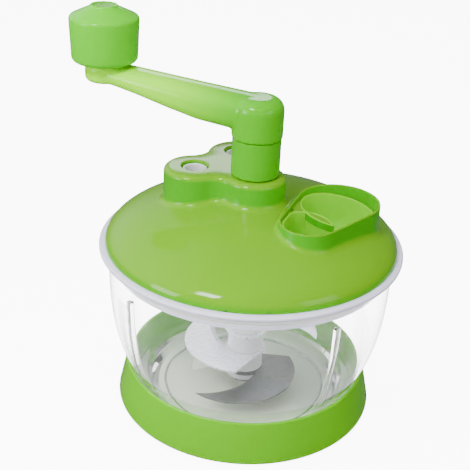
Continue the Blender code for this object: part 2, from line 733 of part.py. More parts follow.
def make_blades(carrier):
    """The spindle, its three blades with spacers between them, and the foot under them."""
    stem_top = SPINDLE_SHOULDER_Z + SPINDLE_RADIUS
    stem = plate("spindle_stem", [hexagon(SPINDLE_STEM_FLATS)], BLADE_SET_Z, stem_top)
    drive_low = SPINDLE_TOP_Z - SPINDLE_RADIUS
    drive = plate("spindle_drive", [hexagon(SPINDLE_DRIVE_FLATS)], drive_low, SPINDLE_DRIVE_TOP_Z)
    edge = SPINDLE_TOP_CHAMFER
    spindle = rod("blade_spindle", SPINDLE_RADIUS, SPINDLE_SHOULDER_Z, SPINDLE_TOP_Z, chamfer=edge)
    bore_top = PIVOT_FOOT_Z + PIVOT_LENGTH + CUT_OVERRUN
    bore = rod("spindle_bore", PIVOT_RADIUS + FIT, BLADE_SET_Z - CUT_OVERRUN, bore_top)
    join(spindle, stem, drive)
    cut(spindle, bore)
    part("blade_spindle", spindle, carrier, WHITE_PLASTIC, 0.4)

    top = BLADE_SET_Z + BLADE_FOOT_HEIGHT
    edge = BLADE_FOOT_ROUND
    foot = turned(
        "blade_foot",
        [
            (BLADE_FOOT_RADIUS - edge, top),
            (BLADE_FOOT_RADIUS, top - edge),
            (BLADE_FOOT_RADIUS, BLADE_SET_Z + edge),
            (BLADE_FOOT_RADIUS - edge, BLADE_SET_Z),
            (STEM_REACH + FIT, BLADE_SET_Z),
            (STEM_REACH + FIT, top),
        ],
        steps=SMALL_ROUND_STEPS,
    )
    part("blade_foot", foot, carrier, WHITE_PLASTIC, 0.4)
    for count, word in enumerate(("lower", "middle", "upper")[:BLADE_COUNT]):
        low = FIRST_BLADE_Z + BLADE_PITCH * count
        make_blade("blade_" + word, carrier, low, -2 * pi * count / BLADE_COUNT)
        if count < BLADE_COUNT - 1:
            spacer_low = low + BLADE_THICKNESS + FIT
            spacer_high = low + BLADE_PITCH - FIT
            spacer = ring("spacer", SPACER_RADIUS, STEM_REACH + FIT, spacer_low, spacer_high)
            part("blade_spacer_" + word, spacer, carrier, WHITE_PLASTIC, 0.4)


# Gears

def involute(angle):
    """The involute function."""
    return tan(angle) - angle


def gear_outline(teeth, phase):
    """Outline of a spur gear with a tooth centred on the phase angle."""
    pitch_radius = GEAR_MODULE * teeth / 2
    base_radius = pitch_radius * cos(PRESSURE_ANGLE)
    tip_radius = pitch_radius + TIP_HEIGHT_SHARE * GEAR_MODULE
    root_radius = pitch_radius - ROOT_DEPTH_SHARE * GEAR_MODULE
    half_at_pitch = pi / (2 * teeth) - GEAR_BACKLASH / (4 * pitch_radius)

    def half_angle(radius):
        turn = acos(min(1.0, base_radius / radius))
        return half_at_pitch + involute(PRESSURE_ANGLE) - involute(turn)

    flank = [
        (root_radius, half_angle(max(base_radius, root_radius))),
        (pitch_radius, half_at_pitch),
        (tip_radius, half_angle(tip_radius)),
    ]
    points = []
    for tooth in range(teeth):
        middle = phase + 2 * pi * tooth / teeth
        points += [polar(radius, middle - half) for radius, half in flank]
        points += [polar(radius, middle + half) for radius, half in reversed(flank)]
    return points


def mesh_phase(teeth, driver_teeth, driver_phase, driver_direction):
    """Phase that sets a gear's gap on its driver's tooth, along the line between their axes."""
    behind = driver_direction + pi
    return behind + (pi - driver_teeth * (driver_phase - driver_direction)) / teeth


def make_gears(lid, crank, output, counters):
    """The crank gear, the two compound counter gears with their axles, and the output gear."""
    hub_radius = SHAFT_REACH + FIT + GEAR_HUB_WALL
    drive_hub = rod("drive_hub", hub_radius, UPPER_GEAR_Z + JOIN_OVERLAP, DRIVE_HUB_TOP_Z)
    drive = plate("drive_gear", [gear_outline(DRIVE_TEETH, 0.0)], UPPER_GEAR_Z, UPPER_GEAR_TOP_Z)
    drive_bore = plate(
        "drive_bore",
        [hexagon(SHAFT_FLATS + 2 * FIT)],
        UPPER_GEAR_Z - CUT_OVERRUN,
        DRIVE_HUB_TOP_Z + CUT_OVERRUN,
    )
    join(drive, drive_hub)
    cut(drive, drive_bore)
    part("drive_gear", drive, crank, WHITE_PLASTIC, 0.45)

    for name, angle in COUNTER_ANGLES.items():
        place = COUNTER_PLACES[name]
        upper_phase = mesh_phase(COUNTER_UPPER_TEETH, DRIVE_TEETH, 0.0, angle)
        lower_phase = mesh_phase(COUNTER_LOWER_TEETH, OUTPUT_TEETH, 0.0, angle)
        lower_outline = gear_outline(COUNTER_LOWER_TEETH, lower_phase)
        upper_outline = gear_outline(COUNTER_UPPER_TEETH, upper_phase)
        gear = plate(name + "_gear", [lower_outline], LOWER_GEAR_Z, LOWER_GEAR_TOP_Z, place)
        pinion_low = LOWER_GEAR_TOP_Z - JOIN_OVERLAP
        pinion = plate(name + "_pinion", [upper_outline], pinion_low, UPPER_GEAR_TOP_Z, place)
        journal_low = UPPER_GEAR_TOP_Z - JOIN_OVERLAP
        journal = rod(name + "_journal", JOURNAL_RADIUS, journal_low, JOURNAL_TOP_Z, place)
        axle_top = UPPER_GEAR_TOP_Z + AXLE_ABOVE_GEAR
        bore = rod(name + "_bore", AXLE_RADIUS + FIT, LOWER_GEAR_Z - CUT_OVERRUN, axle_top, place)
        hollow_low = UPPER_GEAR_TOP_Z + JOURNAL_WALL
        hollow_radius = JOURNAL_RADIUS - JOURNAL_WALL
        hollow = rod(name + "_hollow", hollow_radius, hollow_low, JOURNAL_TOP_Z + CUT_OVERRUN, place)
        join(gear, pinion, journal)
        cut(gear, bore, hollow)
        part(name + "_gear", gear, counters[name], WHITE_PLASTIC, 0.45)
        axle_foot = LOWER_GEAR_Z - AXLE_SEAT_DEPTH
        axle = rod(name + "_axle", AXLE_RADIUS, axle_foot, axle_top, place, PIN_TIP_CHAMFER, PIN_STEPS)
        part(name + "_axle", axle, lid, STEEL, 0.25, metallic=1.0)

    groove_radius = OUTPUT_HUB_RADIUS - CLIP_GROOVE_DEPTH
    hub = turned(
        "output_hub",
        [
            (0.0, LOWER_GEAR_TOP_Z - JOIN_OVERLAP),
            (OUTPUT_HUB_RADIUS, LOWER_GEAR_TOP_Z - JOIN_OVERLAP),
            (OUTPUT_HUB_RADIUS, CLIP_TOP_Z + FIT),
            (groove_radius, CLIP_TOP_Z + FIT),
            (groove_radius, CLIP_UNDER_Z - FIT),
            (OUTPUT_HUB_RADIUS, CLIP_UNDER_Z - FIT),
            (OUTPUT_HUB_RADIUS, OUTPUT_HUB_FOOT_Z),
            (0.0, OUTPUT_HUB_FOOT_Z),
        ],
        steps=SMALL_ROUND_STEPS,
    )
    gear = plate("output_gear", [gear_outline(OUTPUT_TEETH, 0.0)], LOWER_GEAR_Z, LOWER_GEAR_TOP_Z)
    socket = plate(
        "output_socket",
        [hexagon(SPINDLE_DRIVE_FLATS + 2 * FIT)],
        OUTPUT_HUB_FOOT_Z - CUT_OVERRUN,
        SPINDLE_DRIVE_TOP_Z + FIT,
    )
    recess_low = UPPER_GEAR_Z - SHAFT_PILOT_LENGTH - FIT
    recess = rod("output_recess", SHAFT_PILOT_RADIUS + FIT, recess_low, LOWER_GEAR_TOP_Z + CUT_OVERRUN)
    join(gear, hub)
    cut(gear, socket, recess)
    part("output_gear", gear, output, WHITE_PLASTIC, 0.45)
    clip_bore = groove_radius + FIT
    clip = ring("output_clip", clip_bore + CLIP_REACH, clip_bore, CLIP_UNDER_Z, CLIP_TOP_Z)
    part("output_clip", clip, output, STEEL, 0.3, metallic=1.0)

    washer_bore = SHAFT_PILOT_RADIUS + FIT
    washer_low = LOWER_GEAR_TOP_Z + FIT
    washer = ring("gear_washer", washer_bore + WASHER_REACH, washer_bore, washer_low, UPPER_GEAR_Z - FIT)
    part("gear_washer", washer, crank, STEEL, 0.3, metallic=1.0)


# Lid

def make_tray(lid):
    """The white tray: rim, plug skirt, locating ring, axle bosses, centre sleeve and chute hole."""
    rim = TRAY_RIM_ROUND
    skirt_foot_z = TRAY_UNDER_Z - TRAY_SKIRT_DEPTH
    seal_shelf_z = skirt_foot_z + TRAY_SKIRT_FOOT_HEIGHT
    profile = [(OUTPUT_SLEEVE_RADIUS + FIT, TRAY_TOP_Z)]
    profile += quarter((TRAY_RIM_RADIUS - rim, TRAY_TOP_Z - rim), rim, pi / 2, 0.0)
    profile += quarter((TRAY_RIM_RADIUS - rim, TRAY_UNDER_Z + rim), rim, 0.0, -pi / 2, steps=1)
    profile += [
        (TRAY_SKIRT_RADIUS, TRAY_UNDER_Z),
        (TRAY_SKIRT_RADIUS, seal_shelf_z),
        (TRAY_SKIRT_RADIUS + SEAL_WIDTH / 2, seal_shelf_z),
        (TRAY_SKIRT_RADIUS + SEAL_WIDTH / 2, skirt_foot_z),
        (TRAY_SKIRT_RADIUS - TRAY_SKIRT_WALL, skirt_foot_z),
        (TRAY_SKIRT_RADIUS - TRAY_SKIRT_WALL, TRAY_UNDER_Z),
        (OUTPUT_SLEEVE_RADIUS + FIT + TRAY_SLEEVE_WALL, TRAY_UNDER_Z),
        (OUTPUT_SLEEVE_RADIUS + FIT + TRAY_SLEEVE_WALL, SLEEVE_FOOT_Z),
        (OUTPUT_SLEEVE_RADIUS + FIT, SLEEVE_FOOT_Z),
    ]
    tray = turned("tray", profile)
    boss_top = LOWER_GEAR_Z - FIT
    for name, place in COUNTER_PLACES.items():
        boss = rod(name + "_boss", AXLE_BOSS_RADIUS, TRAY_TOP_Z - JOIN_OVERLAP, boss_top, place)
        seat_low = boss_top - AXLE_SEAT_DEPTH
        seat = rod(name + "_seat", AXLE_RADIUS + FIT, seat_low, boss_top + CUT_OVERRUN, place)
        join(tray, boss)
        cut(tray, seat)
    low = TRAY_UNDER_Z - CUT_OVERRUN
    high = TRAY_TOP_Z + CUT_OVERRUN
    cut(tray, plate("tray_chute_hole", [keyhole(chute_offset(TRAY_TOP_Z) + CHUTE_WALL + FIT)], low, high))
    for place in SCREW_PLACES:
        cut(tray, rod("tray_screw_hole", SCREW_RADIUS + FIT, low, high, place, steps=PIN_STEPS))
    part("tray", tray, lid, WHITE_PLASTIC, 0.4)

    seal_low = seal_shelf_z + FIT
    seal_inner = TRAY_SKIRT_RADIUS + FIT
    seal_top = seal_low + SEAL_HEIGHT
    seal = ring("seal_ring", seal_inner + SEAL_WIDTH, seal_inner, seal_low, seal_top, steps=ROUND_STEPS)
    part("seal_ring", seal, lid, WHITE_PLASTIC, 0.7)

    bush_flange = OUTPUT_SLEEVE_RADIUS + BUSH_FLANGE_REACH
    bore = OUTPUT_HUB_RADIUS + FIT
    flange_z = TRAY_TOP_Z + FIT
    bush = turned(
        "output_bush",
        [
            (bush_flange, flange_z + BUSH_FLANGE_THICKNESS),
            (bush_flange, flange_z),
            (OUTPUT_SLEEVE_RADIUS, flange_z),
            (OUTPUT_SLEEVE_RADIUS, SLEEVE_FOOT_Z),
            (bore, SLEEVE_FOOT_Z),
            (bore, flange_z + BUSH_FLANGE_THICKNESS),
        ],
        steps=SMALL_ROUND_STEPS,
    )
    part("output_bush", bush, lid, STEEL, 0.35, metallic=1.0)


def screw_words():
    """Names for the tray's screws."""
    return ["tray_screw_" + word for word in ("one", "two", "three", "four", "five", "six")[:SCREW_COUNT]]


def make_tray_screws(lid):
    """Pan-head screws that hold the tray to the dome's pillars, put in from below."""
    head_top = TRAY_UNDER_Z - FIT
    for name, place in zip(screw_words(), SCREW_PLACES):
        screw = turned(
            name,
            [
                (0.0, head_top + SCREW_LENGTH),
                (SCREW_RADIUS, head_top + SCREW_LENGTH - SCREW_RADIUS),
                (SCREW_RADIUS, head_top),
                (SCREW_HEAD_RADIUS, head_top),
                (SCREW_HEAD_RADIUS, head_top - SCREW_HEAD_HEIGHT / 2),
                (SCREW_HEAD_RADIUS * SCREW_HEAD_TOP_SHARE, head_top - SCREW_HEAD_HEIGHT),
                (0.0, head_top - SCREW_HEAD_HEIGHT),
            ],
            place,
            PIN_STEPS,
        )
        part(name, screw, lid, STEEL, 0.3, metallic=1.0)


def trefoil(offset):
    """Outline of the three-lobed housing, grown by an offset: three lobes with hollow waists between."""
    centres = [(0.0, 0.0), COUNTER_PLACES["counter_back"], COUNTER_PLACES["counter_front"]]
    reach = LOBE_RADIUS + LOBE_WAIST_RADIUS
    middle = (sum(x for x, y in centres) / 3, sum(y for x, y in centres) / 3)
    points = []
    for place in range(3):
        here = Vector(centres[place])
        after = Vector(centres[(place + 1) % 3])
        before = Vector(centres[place - 1])
        waists = []
        for start, end in ((before, here), (here, after)):
            half = (end - start) / 2
            outward = Vector((half.y, -half.x)).normalized()
            waists.append(start + half + outward * sqrt(max(0.0, reach ** 2 - half.length ** 2)))
        first = (waists[0] - here).to_2d()
        last = (waists[1] - here).to_2d()
        start_angle = atan2(first.y, first.x)
        turn = (atan2(last.y, last.x) - start_angle) % (2 * pi)
        for step in range(LOBE_ARC_STEPS + 1):
            angle = start_angle + turn * step / LOBE_ARC_STEPS
            x, y = polar(LOBE_RADIUS + offset, angle)
            points.append((here.x + x, here.y + y))
        waist = waists[1]
        back = here - waist
        on = after - waist
        back_angle = atan2(back.y, back.x)
        swing = (atan2(on.y, on.x) - back_angle + pi) % (2 * pi) - pi
        for step in range(1, WAIST_ARC_STEPS):
            angle = back_angle + swing * step / WAIST_ARC_STEPS
            x, y = polar(LOBE_WAIST_RADIUS - offset, angle)
            points.append((waist.x + x, waist.y + y))
    return points


def pear(offset):
    """Outline of the hopper's collar, grown by an offset: two arcs and the straight sides between them."""
    big = Vector(CHUTE_PLACE)
    small = Vector(COLLAR_NARROW_PLACE)
    between = small - big
    lean = acos((COLLAR_RADIUS - COLLAR_NARROW_RADIUS) / between.length)
    heading = atan2(between.y, between.x)
    points = []
    arcs = (
        (big, COLLAR_RADIUS, heading + lean, 2 * pi - 2 * lean, COLLAR_ARC_STEPS),
        (small, COLLAR_NARROW_RADIUS, heading - lean, 2 * lean, COLLAR_NARROW_ARC_STEPS),
    )
    for centre, radius, start, turn, steps in arcs:
        for step in range(steps + 1):
            x, y = polar(radius + offset, start + turn * step / steps)
            points.append((centre.x + x, centre.y + y))
    return points


def raised_on_dome(outline, top, edge_round, foot_fillet):
    """Rings of a wall that grows out of the dome with a fillet and ends in a rounded edge."""
    rings = []
    embed = [(x, y, dome_z(hypot(x, y)) - DOME_WALL) for x, y in outline(foot_fillet)]
    rings.append(embed)
    for step in range(ROUNDING_STEPS + 1):
        turn = (pi / 2) * step / ROUNDING_STEPS
        offset = foot_fillet * (1 - sin(turn))
        rise = foot_fillet * (1 - cos(turn)) + FIT
        rings.append([(x, y, dome_z(hypot(x, y)) + rise) for x, y in outline(offset)])
    for step in range(ROUNDING_STEPS + 1):
        turn = (pi / 2) * step / ROUNDING_STEPS
        offset = -edge_round * (1 - cos(turn))
        height = top - edge_round * (1 - sin(turn))
        rings.append([(x, y, height) for x, y in outline(offset)])
    return rings


def dome_profile(radius, height, foot, rows):
    """Section of a dome from its top on the axis to its foot, in points that crowd at the shoulder."""
    points = []
    for row in range(rows):
        turn = (pi / 2) * row / (rows - 1)
        share = sin(turn) ** (2 / DOME_SHOULDER_POWER)
        points.append((radius * share, DOME_FOOT_Z + height * cos(turn)))
    points[0] = (0.0, points[0][1])
    points[-1] = (radius, DOME_FOOT_Z)
    if foot < DOME_FOOT_Z:
        points.append((radius, foot))
    points.append((0.0, foot))
    return points


def floor_z(x, y):
    """Height of the hopper's flat floor, which slopes down away from the crank."""
    beyond = x * cos(CHUTE_ANGLE) + y * sin(CHUTE_ANGLE) - CHUTE_REACH
    return COLLAR_TOP_Z - COLLAR_FLOOR_DEPTH - COLLAR_FLOOR_SLOPE * beyond


def keyhole(offset):
    """Outline of the chute, grown by an offset: a large and a small circle that run into each other."""
    big = Vector(CHUTE_PLACE)
    small = Vector(POCKET_BORE_PLACE)
    big_radius = CHUTE_RADIUS + offset
    small_radius = POCKET_BORE_RADIUS + offset
    heading = atan2(small.y - big.y, small.x - big.x)
    cusp = crossing(big, big_radius, small, small_radius, 1)
    at_big = cusp - big
    at_small = cusp - small
    big_turn = (atan2(at_big.y, at_big.x) - heading) % (2 * pi)
    small_turn = (atan2(at_small.y, at_small.x) - heading) % (2 * pi)
    points = arc(big, big_radius, heading + big_turn, 2 * pi - 2 * big_turn, CHUTE_ARC_STEPS)
    points += arc(small, small_radius, heading - small_turn, 2 * small_turn, POCKET_BORE_ARC_STEPS)[1:-1]
    return points


def chute_offset(height):
    """How far the chute's bores have grown at a height; they narrow from the floor down to their foot."""
    foot = TRAY_UNDER_Z - CHUTE_LENGTH_BELOW_TRAY
    top = floor_z(*CHUTE_PLACE)
    share = min(1.0, max(0.0, (height - foot) / (top - foot)))
    return -CHUTE_TAPER * (1 - share)


def make_dome(lid):
    """The green cover: dome, gear housing, hopper collar, screw pillars and every hole in them."""
    dome = turned("lid_dome", dome_profile(DOME_RADIUS, DOME_HEIGHT, DOME_FOOT_Z, DOME_ROWS))
    housing_rings = raised_on_dome(trefoil, HOUSING_TOP_Z, HOUSING_EDGE_ROUND, HOUSING_FOOT_FILLET)
    housing = loft("housing", housing_rings)
    collar = loft("collar", raised_on_dome(pear, COLLAR_TOP_Z, COLLAR_RIM_ROUND, COLLAR_FOOT_FILLET))
    inside = pear(-COLLAR_WALL)
    hopper_floor = [(x, y, floor_z(x, y)) for x, y in inside]
    hopper = loft("hopper", [hopper_floor, [(x, y, COLLAR_TOP_Z + CUT_OVERRUN) for x, y in inside]])
    inner_radius = DOME_RADIUS - DOME_WALL
    inner_height = DOME_HEIGHT - DOME_WALL
    cavity = turned(
        "dome_cavity",
        dome_profile(inner_radius, inner_height, DOME_FOOT_Z - CUT_OVERRUN, CAVITY_ROWS),
        steps=MIDDLE_ROUND_STEPS,
    )
    room_top = HOUSING_TOP_Z - HOUSING_WALL
    housing_room = plate("housing_room", [trefoil(-HOUSING_WALL)], UPPER_GEAR_Z, room_top)
    join(dome, housing, collar)
    cut(dome, hopper, cavity, housing_room)

    pillar_low = DOME_FOOT_Z
    pillar_high = DOME_FOOT_Z + DOME_HEIGHT
    half_wall = DOME_WALL / 2
    mid_profile = dome_profile(DOME_RADIUS - half_wall, DOME_HEIGHT - half_wall, DOME_FOOT_Z, DOME_ROWS)
    mid_wall = turned("dome_mid_wall", mid_profile)
    hole_high = TRAY_UNDER_Z + SCREW_LENGTH + FIT
    for place in SCREW_PLACES:
        pillar = rod("pillar", PILLAR_RADIUS, pillar_low, pillar_high, place)
        join(dome, combine(pillar, mid_wall, "INTERSECT"))
        hole_low = pillar_low - CUT_OVERRUN
        cut(dome, rod("pillar_hole", SCREW_RADIUS + FIT, hole_low, hole_high, place, steps=PIN_STEPS))

    hole_radius = JOURNAL_RADIUS + FIT
    lip = LOBE_HOLE_LIP_ROUND
    lip_profile = [(0.0, HOUSING_TOP_Z + CUT_OVERRUN), (hole_radius + lip, HOUSING_TOP_Z + CUT_OVERRUN)]
    lip_centre = (hole_radius + lip, HOUSING_TOP_Z - lip)
    lip_profile += quarter(lip_centre, lip, pi / 2, pi, steps=1)
    lip_low = HOUSING_TOP_Z - HOUSING_WALL - CUT_OVERRUN
    lip_profile += [(hole_radius, lip_low), (0.0, lip_low)]
    for name, place in COUNTER_PLACES.items():
        cut(dome, turned(name + "_lobe_hole", lip_profile, place, MIDDLE_ROUND_STEPS))
    bush_radius = SHAFT_REACH + FIT + CRANK_BUSH_WALL
    cut(dome, rod("crank_hole", bush_radius + FIT, lip_low, HOUSING_TOP_Z + CUT_OVERRUN))
    chute_room = keyhole(CHUTE_WALL + FIT)
    flange_room = keyhole(CHUTE_WALL + FIT + CHUTE_FLANGE_REACH + FIT)
    flange_room_top = DOME_FOOT_Z + CHUTE_FLANGE_THICKNESS + FIT
    cut(
        dome,
        plate("chute_hole", [chute_room], DOME_FOOT_Z - CUT_OVERRUN, COLLAR_TOP_Z + CUT_OVERRUN),
        plate("flange_room", [flange_room], DOME_FOOT_Z - CUT_OVERRUN, flange_room_top),
    )
    part("lid_dome", dome, lid, GREEN_LID, 0.28)


def make_chute(lid):
    """The feed chute, whose top stands just above the hopper's floor and whose flange is on the tray."""
    foot = TRAY_UNDER_Z - CHUTE_LENGTH_BELOW_TRAY
    flange_low = TRAY_TOP_Z + FIT
    flange_high = flange_low + CHUTE_FLANGE_THICKNESS
    flange_offset = CHUTE_WALL + FIT + CHUTE_FLANGE_REACH

    def level(offset, height):
        return [(x, y, height) for x, y in keyhole(offset)]

    def top(offset):
        return [(x, y, floor_z(x, y) + CHUTE_LIP_HEIGHT) for x, y in keyhole(offset)]

    rings = [
        level(chute_offset(foot), foot),
        level(chute_offset(foot) + CHUTE_WALL, foot),
        level(chute_offset(flange_low) + CHUTE_WALL, flange_low),
        level(flange_offset, flange_low),
        level(flange_offset, flange_high),
        level(chute_offset(flange_high) + CHUTE_WALL, flange_high),
        top(CHUTE_WALL),
        top(0.0),
    ]
    shape = bmesh.new()
    rows = [[shape.verts.new(point) for point in points] for points in rings]
    for row, following in zip(rows, rows[1:] + rows[:1]):
        for step in range(len(row)):
            after = (step + 1) % len(row)
            shape.faces.new((row[step], row[after], following[after], following[step]))
    bmesh.ops.recalc_face_normals(shape, faces=shape.faces)
    mesh = bpy.data.meshes.new("feed_chute")
    shape.to_mesh(mesh)
    shape.free()
    part("feed_chute", tool("feed_chute", mesh), lid, GREEN_LID, 0.28)


def make_crank_bush(lid):
    """The flanged bush that the crank shaft turns in."""
    bore = SHAFT_REACH + FIT
    outer = bore + CRANK_BUSH_WALL
    under = HOUSING_TOP_Z - HOUSING_WALL - FIT
    top = HOUSING_TOP_Z
    low = CRANK_BUSH_LOW_Z
    bush = turned(
        "crank_bush",
        [
            (outer, top),
            (outer, under),
            (outer + BUSH_FLANGE_REACH, under),
            (outer + BUSH_FLANGE_REACH, under - BUSH_FLANGE_THICKNESS),
            (outer, under - BUSH_FLANGE_THICKNESS),
            (outer, low),
            (bore, low),
            (bore, top),
        ],
        steps=SMALL_ROUND_STEPS,
    )
    part("crank_bush", bush, lid, WHITE_PLASTIC, 0.4)


# Crank and knob

def arm_section(share):
    """Half width, top and under side of the arm at a share of its length from the hub."""
    half_width = (ARM_WIDTH_AT_HUB + (ARM_WIDTH_AT_KNOB - ARM_WIDTH_AT_HUB) * share) / 2
    top = ELBOW_TOP_Z + (ARM_END_TOP_Z - ELBOW_TOP_Z) * share
    depth_share = ARM_DEPTH_SHARES[-1][1]
    for (start, first), (end, last) in zip(ARM_DEPTH_SHARES, ARM_DEPTH_SHARES[1:]):
        if start <= share <= end:
            depth_share = first + (last - first) * (share - start) / (end - start)
    return half_width, top, top - ARM_DEPTH_AT_HUB * depth_share


def arm_bar():
    """The arm from elbow to knob: rounded box sections, deep at the hub and slim at the knob."""
    rings = []
    for row in range(ARM_ROWS + 1):
        share = row / ARM_ROWS
        half_width, top, under = arm_section(share)
        middle = (top + under) / 2
        half_depth = (top - under) / 2
        along = CRANK_REACH * share
        points = []
        for step in range(ARM_SECTION_POINTS):
            turn = 2 * pi * (step + 0.5) / ARM_SECTION_POINTS
            side = cos(turn)
            rise = sin(turn)
            across = half_width * abs(side) ** (2 / ARM_CORNER_POWER) * (1 if side > 0 else -1)
            up = half_depth * abs(rise) ** (2 / ARM_CORNER_POWER) * (1 if rise > 0 else -1)
            x = along * cos(CRANK_ANGLE) - across * sin(CRANK_ANGLE)
            y = along * sin(CRANK_ANGLE) + across * cos(CRANK_ANGLE)
            points.append((x, y, middle + up))
        rings.append(points)
    return loft("arm_bar", rings)


def make_crank(crank, knob):
    """The crank shaft, the green sleeve on it, the arm, the knob's pin, the knob and its cap."""
    pilot_low = UPPER_GEAR_Z - SHAFT_PILOT_LENGTH
    pilot = rod("shaft_pilot", SHAFT_PILOT_RADIUS, pilot_low, UPPER_GEAR_Z + GEAR_FACE / 2)
    shaft = plate("crank_shaft", [hexagon(SHAFT_FLATS)], UPPER_GEAR_Z, SHAFT_TOP_Z)
    join(shaft, pilot)
    part("crank_shaft", shaft, crank, STEEL, 0.3, metallic=1.0)

    edge = HUB_EDGE_ROUND
    sleeve_profile = [(0.0, HUB_TOP_Z), (HUB_RADIUS, HUB_TOP_Z)]
    sleeve_profile += quarter((HUB_RADIUS - edge, CRANK_FOOT_Z + edge), edge, 0.0, -pi / 2)
    sleeve_profile += [(0.0, CRANK_FOOT_Z)]
    sleeve = turned("crank_sleeve", sleeve_profile, steps=MIDDLE_ROUND_STEPS)
    sleeve_bore = plate(
        "sleeve_bore", [hexagon(SHAFT_FLATS + 2 * FIT)], CRANK_FOOT_Z - CUT_OVERRUN, HUB_TOP_Z + CUT_OVERRUN
    )
    cut(sleeve, sleeve_bore)
    part("crank_sleeve", sleeve, crank, GREEN_CRANK, 0.3)

    round_centre = (ELBOW_RADIUS - ELBOW_ROUND, ELBOW_TOP_Z - ELBOW_ROUND)
    elbow_profile = [(0.0, ELBOW_TOP_Z)]
    elbow_profile += quarter(round_centre, ELBOW_ROUND, pi / 2, 0.0, steps=4)
    elbow_profile += [(ELBOW_RADIUS, ELBOW_FOOT_Z), (0.0, ELBOW_FOOT_Z)]
    arm = turned("crank_arm", elbow_profile, steps=MIDDLE_ROUND_STEPS)
    end_round = ARM_END_ROUND
    end_profile = [(0.0, ARM_END_TOP_Z)]
    end_profile += quarter((ARM_END_RADIUS - end_round, ARM_END_TOP_Z - end_round), end_round, pi / 2, 0.0)
    end_foot_centre = (ARM_END_RADIUS - end_round, ARM_END_UNDER_Z + end_round)
    end_profile += quarter(end_foot_centre, end_round, 0.0, -pi / 2)
    end_profile += [(0.0, ARM_END_UNDER_Z)]
    arm_end = turned("arm_end", end_profile, KNOB_PLACE, MIDDLE_ROUND_STEPS)
    bore_low = ELBOW_FOOT_Z - CUT_OVERRUN
    arm_bore = plate("arm_bore", [hexagon(SHAFT_FLATS + 2 * FIT)], bore_low, SHAFT_TOP_Z + FIT)
    pin_foot = ARM_END_TOP_Z - KNOB_PIN_SEAT_DEPTH
    pin_seat = rod("pin_seat", KNOB_PIN_RADIUS + FIT, pin_foot, ARM_END_TOP_Z + CUT_OVERRUN, KNOB_PLACE)
    join(arm, arm_bar(), arm_end)
    cut(arm, arm_bore, pin_seat)
    part("crank_arm", arm, crank, GREEN_CRANK, 0.3)

    head_low = KNOB_RECESS_Z + FIT
    pin = turned(
        "knob_pin",
        [
            (0.0, head_low + KNOB_PIN_HEAD_HEIGHT),
            (KNOB_PIN_HEAD_RADIUS, head_low + KNOB_PIN_HEAD_HEIGHT),
            (KNOB_PIN_HEAD_RADIUS, head_low),
            (KNOB_PIN_RADIUS, head_low),
            (KNOB_PIN_RADIUS, pin_foot + FIT),
            (0.0, pin_foot + FIT),
        ],
        KNOB_PLACE,
        SMALL_ROUND_STEPS,
    )
    part("knob_pin", pin, crank, STEEL, 0.25, metallic=1.0)
    make_knob(knob, head_low + KNOB_PIN_HEAD_HEIGHT + FIT)


def make_knob(knob, cap_low):
    """The round knob, with a bored core and a small cap in its top."""
    recess_radius = KNOB_TOP_RADIUS - KNOB_RECESS_WALL
    foot = KNOB_FOOT_ROUND
    top_round = KNOB_TOP_ROUND
    shoulder = KNOB_SHOULDER_ROUND
    slope = atan2(KNOB_SHOULDER_RADIUS - KNOB_TOP_RADIUS, KNOB_CONE_HEIGHT)
    profile = [
        (recess_radius, KNOB_RECESS_Z),
        (recess_radius, KNOB_TOP_Z - top_round / 2),
        (recess_radius + top_round / 2, KNOB_TOP_Z),
        (KNOB_TOP_RADIUS - top_round, KNOB_TOP_Z),
        (KNOB_TOP_RADIUS, KNOB_TOP_Z - top_round),
        (KNOB_SHOULDER_RADIUS - shoulder * sin(slope), KNOB_SHOULDER_Z + shoulder * cos(slope)),
        (KNOB_SHOULDER_RADIUS - shoulder / 4, KNOB_SHOULDER_Z + shoulder / 8),
        (KNOB_SHOULDER_RADIUS, KNOB_SHOULDER_Z - shoulder / 2),
    ]
    profile += quarter((KNOB_FOOT_RADIUS - foot, KNOB_FOOT_Z + foot), foot, 0.0, -pi / 2)
    profile += [(KNOB_PIN_RADIUS + FIT, KNOB_FOOT_Z), (KNOB_PIN_RADIUS + FIT, KNOB_RECESS_Z)]
    part("knob", turned("knob", profile, KNOB_PLACE, MIDDLE_ROUND_STEPS), knob, GREEN_KNOB, 0.3)
    cap = rod(
        "knob_cap",
        recess_radius - FIT,
        cap_low,
        cap_low + KNOB_CAP_THICKNESS,
        KNOB_PLACE,
        chamfer=top_round / 2,
    )
    part("knob_cap", cap, knob, GREEN_KNOB, 0.35)


def make_chopper():
    """Builds every part on the empty of the piece that it moves with."""
    root = axis_empty("base_axis")
    lid = axis_empty("lid_lift_axis", parent=root)
    crank = axis_empty("crank_axis", parent=lid)
    knob = axis_empty("knob_axis", KNOB_PLACE, crank)
    output = axis_empty("output_axis", parent=lid)
    blades = axis_empty("blade_axis", parent=root)
    counters = {name: axis_empty(name + "_axis", place, lid) for name, place in COUNTER_PLACES.items()}
    make_base(root)
    make_bowl(root)
    make_blades(blades)
    make_tray(lid)
    make_tray_screws(lid)
    make_dome(lid)
    make_chute(lid)
    make_crank_bush(lid)
    make_gears(lid, crank, output, counters)
    make_crank(crank, knob)


make_chopper()
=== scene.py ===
"""Looks of the hand-cranked garlic chopper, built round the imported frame."""

import json
from math import acos, atan2, copysign, cos, hypot, pi, radians, sin, sqrt, tan

import bmesh
import bpy
from mathutils import Matrix, Vector
from mathutils.geometry import delaunay_2d_cdt


